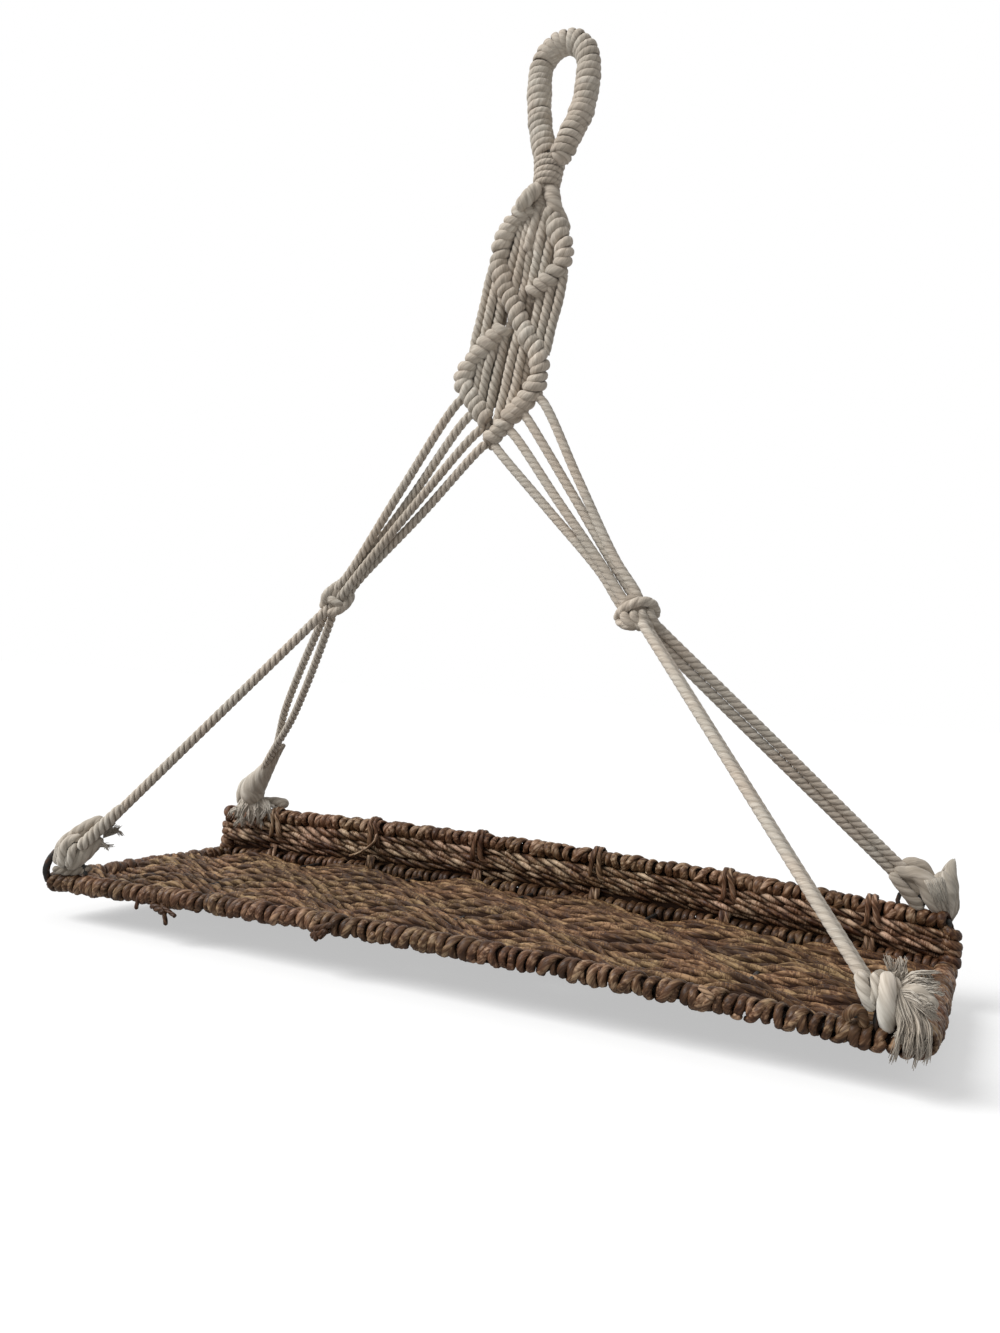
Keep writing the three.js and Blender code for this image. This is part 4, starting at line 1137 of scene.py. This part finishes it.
def fray(bundle, left, right, count, rng, fullness, stray, tone):
    left, right = smooth_path(left, 0.6), smooth_path(right, 0.6)
    shares = np.linspace(0, 1, 9)
    between = np.mean(right - sample(left, np.linspace(0, 1, len(right))), axis=0)
    out = unit(np.cross(between, left[-1] - left[0]))
    locks = max(3, count // YARNS_IN_LOCK)
    lock_across = (np.arange(locks) + rng.uniform(0.2, 0.8, locks)) / locks
    lock_reach = 1 - 0.3 * rng.uniform(0, 1, locks) ** 1.5
    lock_layer = rng.uniform(-1, 1, locks)
    lock_waves = [drifts(3, shares, 0.35, stray, rng) for _ in range(locks)]
    for number in range(count):
        lock = number % locks
        across = np.clip(lock_across[lock] + rng.normal(0, 0.9) / locks, 0, 1)
        drawn = (across + (lock_across[lock] - across) * 0.75 * shares)[:, None]
        reach = lock_reach[lock] * (1 - 0.25 * rng.uniform(0, 1) ** 2)
        line = sample(left, reach * shares) * (1 - drawn) + sample(right, reach * shares) * drawn
        layer = np.clip(0.7 * lock_layer[lock] + rng.uniform(-0.4, 0.4), -1, 1)
        bulge = fullness * layer * np.sqrt(max(0.0, 1 - (2 * across - 1) ** 2))
        line = line + out * (bulge * (0.45 + 0.55 * shares))[:, None]
        wave = drifts(3, shares, 0.3, 0.5 * stray, rng)
        line = line + (lock_waves[lock] + wave) * shares[:, None]
        size = YARN_WIDTH * (1 - 0.6 * shares ** 2) * rng.uniform(0.75, 1.25)
        yarn = round_strand(line, size, plies=1, groove=0.0, per_ply=3, lay=STRAIGHT)
        yarn_tone = tone + 0.15 * lock_layer[lock] + rng.uniform(-0.15, 0.15)
        # yarns in the middle of the brush, between its front and back, get a lower crease value: painted
        # shade
        bundle.add(yarn, yarn_tone, 0.75 + 0.25 * abs(layer))


for seed, (corner, ends) in enumerate(FRAYED_ENDS.items()):
    rng = np.random.default_rng(70 + seed)
    for left, right, count, fullness, stray, end_tone in ends:
        middle = knot_middles[corner]
        edges = seen_from_camera(middle, left), seen_from_camera(middle, right)
        fray(corner_knots[corner], *edges, count, rng, fullness, stray, end_tone)
    corner_knots[corner].piece(f"{corner}_tied_knot", cotton_frayed, "knot_cotton", f"{corner}_corner_knot")

# %% [markdown]
# The tray's frame is dark wire. It shows only in the eyes at the corners, which stay as the frame
# made them and get a painted finish: satin black with small specks of rust. Two short
# arcs of the same wire follow the front eyes where the knots leave them bare.

# %% Paint the wire
WORN_SCALE, WORN_DETAIL = 240, 6
BLACK_PAINT, RUST = srgb(44, 43, 42), srgb(84, 60, 46)
wire_paint, wire_tree, wire_shader = new_material("dark_wire")
wire_place = add_node(wire_tree, "TexCoord").outputs["Object"]
worn = add_node(wire_tree, "TexNoise", {
    "Vector": wire_place, "Scale": WORN_SCALE, "Detail": WORN_DETAIL,
}).outputs["Fac"]
rust_share = add_node(wire_tree, "MapRange", {"Value": worn, "From Min": 0.52, "From Max": 0.7}).outputs[0]
wire_rough = add_node(wire_tree, "MapRange", {"Value": worn, "To Min": 0.38, "To Max": 0.75}).outputs[0]
wire_bump = add_node(wire_tree, "Bump", {"Strength": 0.3, "Distance": 0.0003, "Height": worn})
fill(wire_tree, wire_shader, {
    "Base Color": mix_colors(wire_tree, rust_share, BLACK_PAINT, RUST), "Roughness": wire_rough,
    "Normal": wire_bump.outputs["Normal"], "Metallic": 0.2, "Specular IOR Level": 0.25,
})
wire_slots = bpy.data.objects["wire_frame"].material_slots
for wire_slot in wire_slots:
    wire_slot.material = wire_paint
print("wire slots", len(wire_slots))

WIRE_ARCS = {
    # the wire's width, then places of right, away and up from the knot
    "front_left": (5.0, [(-12, 3, 3), (-17.5, 3, -2), (-21.5, 3, -7.5), (-23.4, 4, -14), (-22, 9, -21)]),
    "front_right": (3.0, [(2.5, -3, -7), (1.3, -3, -10.2), (.5, -3, -13.9), (1.3, -2, -18.3),
                          (3.7, 0, -22)]),
}
eye_wires = Bundle()
for corner, (width, places) in WIRE_ARCS.items():
    path = smooth_path(seen_from_camera(knot_middles[corner], places), 1.2)
    eye_wires.add(round_strand(path, width, plies=1, groove=0, per_ply=10), 0.5)
eye_wires.piece("eye_wires", wire_paint, "dark_steel", body="tray")

# %% [markdown]
# The rims are seagrass strand wound round the wire, turn against turn. Real strand is uneven:
# turns differ in size, lean and colour, and the gaps between them are nearly black, which is
# painted shade from the crease value. Some strands cross over the others at a slant, and from the
# front rim a few loose ends stand out. A dark sleeve lies inside each winding, and a dark rod under
# the back rim, so that no light comes through; their near-black colour is painted shade. The back
# rim, low under the lip, is given a darker tone, which is painted shade as well.

# %% Wind the rims
HALF = TRAY_LENGTH / 2
CORNER_TURN = 6.0
CROSSING_LENGTH, CROSSING_PITCH = 30, 19.0
UNDER_RIM_ROD = 6.0
# tone and crease value of the dark sleeves, rods and backing: painted shade
DARK_PAINTED_SHADE = (0.1, 0.05)
# loose ends that stand out of the front rim: where from, where to, width, tone
RIM_ENDS = [
    ((-205.5, -5, 0), (-204.5, -8, -9.5), 3.0, 0.15), ((-184, -5, -4), (-177.5, -8, -16), 3.2, 0.15),
    ((-186, -5, -4), (-170, -8, -9), 3.0, 0.15), ((-62, -7, 0), (-46, -9, 5.5), 4.0, 0.15),
    ((-60, -7, 1), (-58, -9, -7), 3.4, 0.15), ((-52, -7, 0), (-56, -9.5, -5), 3.0, 0.15),
    ((-64, -6, -5), (-50, -9, 1), 4.6, 0.15), ((-196, -3, -5), (-180, -6, -8.5), 6.0, 0.15),
    ((181, -6.5, 8.5), (190, -8.5, 3.5), 3.4, 1.0),
]
# a strand over the front right eye, as places of right, away and up from the knot
EYE_LASHING = [(-15, -1, -13), (-11.5, -4, -9), (-8, -5, -8), (-5.5, -4, -12), (-6, -2, -17)]


def wind_rim(bundle, places, pitch, radius, thick, width, seed, side=(0, 0, 1), base=0.5, lean=1.0,
             crossings=0):
    rng = np.random.default_rng(seed)
    core = smooth_path(places, 1.5)
    length = lengths_along(core)[-1]
    turns = wind(core, side, 0.5, length - 0.5, pitch, radius, rng, steps=20, hand=-1, slip=1.6,
                 swell=1.0, lean=lean, stagger=2.2)
    add_winding(bundle, turns, thick, width, rng, uneven=0.28, tone=base - 0.05, speckle=0.3, slow=0.12,
                lay=24.0, groove=0.12, per_ply=4, twist=1, lean=0.8, shelter=(-0.4, 0.55))
    for number in range(crossings):
        begin = length * (number + rng.uniform(0.2, 0.8)) / crossings
        over, radial, turn = wind(
            core, side, begin, min(begin + CROSSING_LENGTH, length - 1), CROSSING_PITCH, radius + 1.0, rng,
            steps=30, hand=-1, phase=rng.uniform(0, 6),
        )
        size = domed(over, 1.0)
        crossing = lay_strand(over, radial, 3.6 * size, 5.4 * size, lay=24.0, groove=0.14, per_ply=4,
                              twist=1, shelter=(-0.9, 0.0))
        bundle.add(crossing, base + 0.1 + drift(turn, 0.5, 0.2, rng))
    # the sleeve's near-black colour is painted shade
    bundle.add(rod(core[3:-3], 2 * radius - 0.6, step=5.0), *DARK_PAINTED_SHADE)


def rim_places(y, turn_to):
    """Places along a long rod, whose ends turn toward the other rod."""
    xs = np.linspace(-HALF + CORNER_TURN, HALF - CORNER_TURN, 25)
    middle = [(x, y, float(bow_at(x))) for x in xs]
    end_height = float(bow_at(HALF))
    ends = [(HALF - 0.6, y + turn_to * 2.0, end_height), (HALF + 0.6, y + turn_to * 7.0, end_height)]
    start = [(-x, yy, z) for x, yy, z in reversed(ends)]
    return start + middle + ends


front_rim = Bundle()
wind_rim(front_rim, rim_places(0, 1), 6.3, 4.6, 4.4, 6.0, 81, base=0.45, crossings=18)
for root, tip, width, tone in RIM_ENDS:
    front_rim.add(domed_strand(evenly([root, tip], 0.8), width, groove=0.3), tone)
lashing = smooth_path(seen_from_camera(knot_middles["front_right"], EYE_LASHING), 1.0)
front_rim.add(domed_strand(lashing, 5.6, groove=0.14), 0.5)
front_rim.piece("wound_front_rim", seagrass_rim, "seagrass_rim", "front_rim_wrap")

back_rim = Bundle()
# base=0.3 gives the back rim a darker tone: painted shade under the lip
wind_rim(back_rim, rim_places(TRAY_DEPTH, -1), 5.8, 4.7, 4.2, 5.6, 82, base=0.3)
under_rim = [(x, TRAY_DEPTH - 2.4, float(bow_at(x)) - 3.6) for x in np.linspace(-HALF + 8, HALF - 8, 25)]
back_rim.add(rod(under_rim, UNDER_RIM_ROD), *DARK_PAINTED_SHADE)
back_rim.piece("wound_back_rim", seagrass_rim, "seagrass_rim", "back_rim_wrap")

for name, x, seed in (("left", -HALF, 83), ("right", HALF, 84)):
    side_rim = Bundle()
    side_places = [(x, y, float(bow_at(x))) for y in np.linspace(7.5, TRAY_DEPTH - 7.5, 9)]
    wind_rim(side_rim, side_places, 8.0, 4.9, 5.4, 7.6, seed, crossings=4)
    side_rim.piece(f"wound_{name}_rim", seagrass_rim, "seagrass_rim", f"{name}_rim_wrap")

lip_rim = Bundle()
lip_places = [(x, TRAY_DEPTH, float(lip_at(x))) for x in np.linspace(-HALF - 4, HALF + 2, 25)]
wind_rim(lip_rim, lip_places, 6.6, 3.9, 4.2, 6.2, 85, base=0.42, lean=1.4, crossings=14)
for seed, x in ((86, -HALF), (87, HALF)):
    post_heights = np.linspace(float(bow_at(x)) + 3, float(lip_at(x)) - 4, 5)
    post = [(x + (x / HALF) * 2.5, TRAY_DEPTH, z) for z in post_heights]
    wind_rim(lip_rim, post, 6.4, 4.6, 4.6, 6.8, seed, side=TO_BACK, base=0.42)
lip_rim.piece("wound_lip_rim", seagrass_lip, "seagrass_lip", "lip_rim_wrap")

# %% [markdown]
# Four ropes fill the lip, one above the other, two to each of its solids. They are laid from long
# leaves, so their strands run at a slant along the lip, and they are thicker at the left, where
# the lip is higher. The lower ropes get a darker tone, which is painted shade in the lip's recess,
# and the plies' tones spread wide up to a pale colour, partly the leaves' own colour and partly
# painted highlights. A dark backing behind them keeps the gaps between the ropes dark; its dark
# colour is painted shade.

# %% Lay the lip's ropes
LIP_ROPES = 4
LIP_ROPE_WIDTH = 8.6
ROPE_OVERLAP = 2.2
BACKING_THICK = 4.0
BACKING_COARSENESS = 6
rope_xs = np.linspace(-HALF - 3.5, HALF + 1.5, 420)
lip_room = LIP_HEIGHT - (RIM_WRAP + LIP_WRAP) / 2 - LIP_DROP * (rope_xs / TRAY_LENGTH + 0.5) ** 2
lip_foot = bow_at(rope_xs) + RIM_WRAP / 2


def straight_up(path):
    return np.tile([0.0, 0.0, 1.0], (len(path), 1))


for number in (1, 2):
    rope = Bundle()
    for half in (0, 1):
        rng = np.random.default_rng(90 + 10 * half + number)
        share = (2 * number - 2 + half + 0.5) / LIP_ROPES
        height = lip_foot + lip_room * share + drift(rope_xs, 34, 1.3, rng)
        set_back = 1.6 if share < 0.3 else -1.4
        path = np.stack([rope_xs, TRAY_DEPTH + set_back + drift(rope_xs, 26, 1.2, rng), height], axis=1)
        size = (lip_room / LIP_ROPES + ROPE_OVERLAP) * (1 + drift(rope_xs, 20, 0.14, rng))
        uneven = drifts(PLIES, rope_xs, 15, 0.22, rng)
        # lower ropes get a darker tone: painted shade in the lip's recess
        rope_tone = 0.4 + 0.2 * share + drift(rope_xs, 12, 0.2, rng)[:, None]
        # wide ply tones: partly the leaves' own colour, partly painted highlights
        ply_tone = drifts(PLIES, rope_xs, 11, 0.5, rng)
        laid = lay_strand(
            path, straight_up(path), size, LIP_ROPE_WIDTH, lay=38.0 + rng.uniform(-5, 5), groove=0.5,
            per_ply=7, twist=1, phase=2.0 * half + number, lean=0.7, ply_drift=uneven, crease_shade_spread=1.6,
        )
        rope.add(laid, rope_tone + ply_tone)
    if number == 1:
        behind = np.full(len(rope_xs), TRAY_DEPTH + 1.5)
        back = np.stack([rope_xs, behind, lip_foot + lip_room / 2], axis=1)[::BACKING_COARSENESS]
        back_height = (lip_room + 9)[::BACKING_COARSENESS]
        backing = lay_strand(back, straight_up(back), back_height, BACKING_THICK, plies=1, lay=STRAIGHT,
                             groove=0.0, per_ply=10)
        # the backing's dark colour is painted shade
        rope.add(backing, *DARK_PAINTED_SHADE)
    rope.piece(f"lip_long_rope_{number}", seagrass_lip, "seagrass_lip", f"lip_rope_{number}")

# %% [markdown]
# Six bindings hold the lip, each of two strands side by side. A strand goes over the top rim,
# down the front to the middle of the lip, in between the ropes, and comes back up behind, then
# round the lower rim. The second binding has a loose leaf end that stands up in front.

# %% Bind the lip
TIES = 6
CROSS_SPACING = TRAY_LENGTH / TIES
TIE_THICK, TIE_WIDTH = 2.8, 4.2
OVER_TOP, UNDER_RIM, OVER_FRONT = 1.4, 1.2, 0.6
LIP_MIDDLE_SHARE = 0.42
LOOSE_LEAF = [(-162.7, 187, 12), (-151, 186, 17), (-140, 188, 27), (-139, 189, 33)]
for number in range(TIES):
    rng = np.random.default_rng(100 + number)
    x = (number - (TIES - 1) / 2) * CROSS_SPACING
    top = float(lip_at(x)) + LIP_WRAP / 2 + OVER_TOP
    low = float(bow_at(x)) - RIM_WRAP / 2 - UNDER_RIM
    lip_inside = LIP_HEIGHT - (RIM_WRAP + LIP_WRAP) / 2
    middle = float(bow_at(x)) + RIM_WRAP / 2 + lip_inside * LIP_MIDDLE_SHARE
    reach = RIM_WRAP / 2 + OVER_FRONT
    slant = rng.uniform(-2.0, 2.0)
    tie = Bundle()
    for shift, depth_share in ((-1.0, 1.0), (2.6, 0.9)):
        front, rear = TRAY_DEPTH - reach * depth_share, TRAY_DEPTH + reach * depth_share
        path = smooth_path([
            (x + 3.4 * shift, TRAY_DEPTH - 3, middle + 2),
            (x + 2.2 * shift + slant, front + 1.4, middle + 4),
            (x + 1.4 * shift + slant, front + 1.0, (middle + top) / 2 + 2),
            (x + shift, front + 1.8, top - 3.2), (x + shift, TRAY_DEPTH, top),
            (x + shift, rear - 1.2, top - 3.2), (x + shift, rear, (middle + top) / 2),
            (x + shift, rear, middle), (x + shift, rear, (middle + low) / 2),
            (x + shift, rear - 1.5, low + 3.5), (x + shift, TRAY_DEPTH, low),
            (x + shift, front + 1.5, low + 3.5), (x + shift, front + 1.4, (middle + low) / 2),
            (x + shift, TRAY_DEPTH - 3, middle - 5),
        ], 1.6)
        outward = unit(path - np.array([x, TRAY_DEPTH, (top + low) / 2]))
        outward[:, 0] = 0
        flat = 1 + drift(lengths_along(path), 9, 0.2, rng)
        strand = lay_strand(path, outward, TIE_THICK * flat, TIE_WIDTH * flat, lay=30.0, groove=0.25,
                            per_ply=4, lean=0.8, shelter=(-0.8, 0.1))
        tie.add(strand, 0.4 + rng.uniform(-0.15, 0.25))
    if number == 1:
        tie.add(domed_strand(smooth_path(LOOSE_LEAF, 0.8), 3.4, flat=0.6, groove=0.2), 0.85)
    tie.piece(f"lip_tie_{number + 1}", seagrass_lip, "seagrass_lip", f"lip_binding_{number + 1}")

# %% [markdown]
# The floor is twenty seagrass ropes laid side by side over the cross rods. Each rope is a loose
# twist of four leaves, so its strands slant across it and overlap like scales. Every other rope
# goes over a cross rod where its neighbour goes under, which makes low humps in the floor. Under
# each rope lies a flat dark filling strand, wider beside the rims, so that no light comes through;
# its dark colour is painted shade.

# %% Weave the floor
FLOOR_ROWS = 20
FLOOR_PLIES = 4
FLOOR_ROPE_WIDTH = 9.4
OVER_UNDER, LOW_HUMP, SIDE_SWAY = 0.9, 3.2, 2.2
WAVE_SHIFT = 0.52
SINKING_ROWS = 4
FILLING_COARSENESS = 3
FILLING_THICK, FILLING_WIDTH, EDGE_FILLING_WIDTH = 4.2, 11.5, 16.0
EDGE_SHIFT = 4.5
# tone and crease value of the filling: painted shade
FILLING_PAINTED_SHADE = (0.1, 0.1)
floor_front = RIM_WRAP / 2 + SEAT
floor_back = TRAY_DEPTH - RIM_WRAP / 2 - 3 * SEAT - 2.5
row_pitch = (floor_back - floor_front) / FLOOR_ROWS
floor_end = HALF - RIM_WRAP / 2 - SEAT + 1.5
floor_xs = np.linspace(-floor_end, floor_end, 330)
floor_halves = [Bundle(), Bundle()]
for row in range(FLOOR_ROWS):
    rng = np.random.default_rng(200 + row)
    y = floor_front + (row + 0.5) * row_pitch
    wave = 2 * np.pi * (floor_xs + drift(floor_xs, 70, 9.0, rng)) / CROSS_SPACING
    hump = OVER_UNDER * np.cos(wave + np.pi * (row % 2)) + LOW_HUMP * np.cos(wave + WAVE_SHIFT * row)
    sink = 0.8 * max(0, row - FLOOR_ROWS + SINKING_ROWS)
    height = bow_at(floor_xs) + 0.3 + hump - sink + drift(floor_xs, 30, 0.9, rng)
    sway = SIDE_SWAY * np.sin(wave + WAVE_SHIFT * row) + drift(floor_xs, 24, 0.9, rng)
    path = np.stack([floor_xs, y + sway, height], axis=1)
    uneven = drifts(FLOOR_PLIES, floor_xs, 16, 0.16, rng)
    size = FLOOR_ROPE_WIDTH + drift(floor_xs, 22, 0.9, rng)
    rope_tone = 0.5 + drift(floor_xs, 20, 0.15, rng)[:, None] + rng.uniform(-0.06, 0.06)
    ply_tone = drifts(FLOOR_PLIES, floor_xs, 14, 0.4, rng)
    half = floor_halves[row // (FLOOR_ROWS // 2)]
    laid = lay_strand(
        path, straight_up(path), size, size, plies=FLOOR_PLIES, lay=56.0 + rng.uniform(-8, 8), groove=0.6,
        per_ply=5, crease_shade_spread=1.6, twist=1, phase=rng.uniform(0, 6), lean=0.7, ply_drift=uneven,
        shelter=(-0.3, 0.85),
    )
    half.add(laid, rope_tone + ply_tone)
    rim_side = {0: -1, FLOOR_ROWS - 1: 1}.get(row, 0)
    under = path[::FILLING_COARSENESS] + [0, EDGE_SHIFT * rim_side, -0.8]
    under[0, 0] -= 3
    under[-1, 0] += 3
    filling_width = EDGE_FILLING_WIDTH if rim_side else FILLING_WIDTH
    filling = lay_strand(under, straight_up(under), FILLING_THICK, filling_width, plies=1, lay=STRAIGHT,
                         groove=0.0)
    half.add(filling, *FILLING_PAINTED_SHADE)
for half, name in zip(floor_halves, ("floor_front_ropes", "floor_back_ropes")):
    half.piece(name, seagrass_floor, "seagrass_floor", "woven_floor")
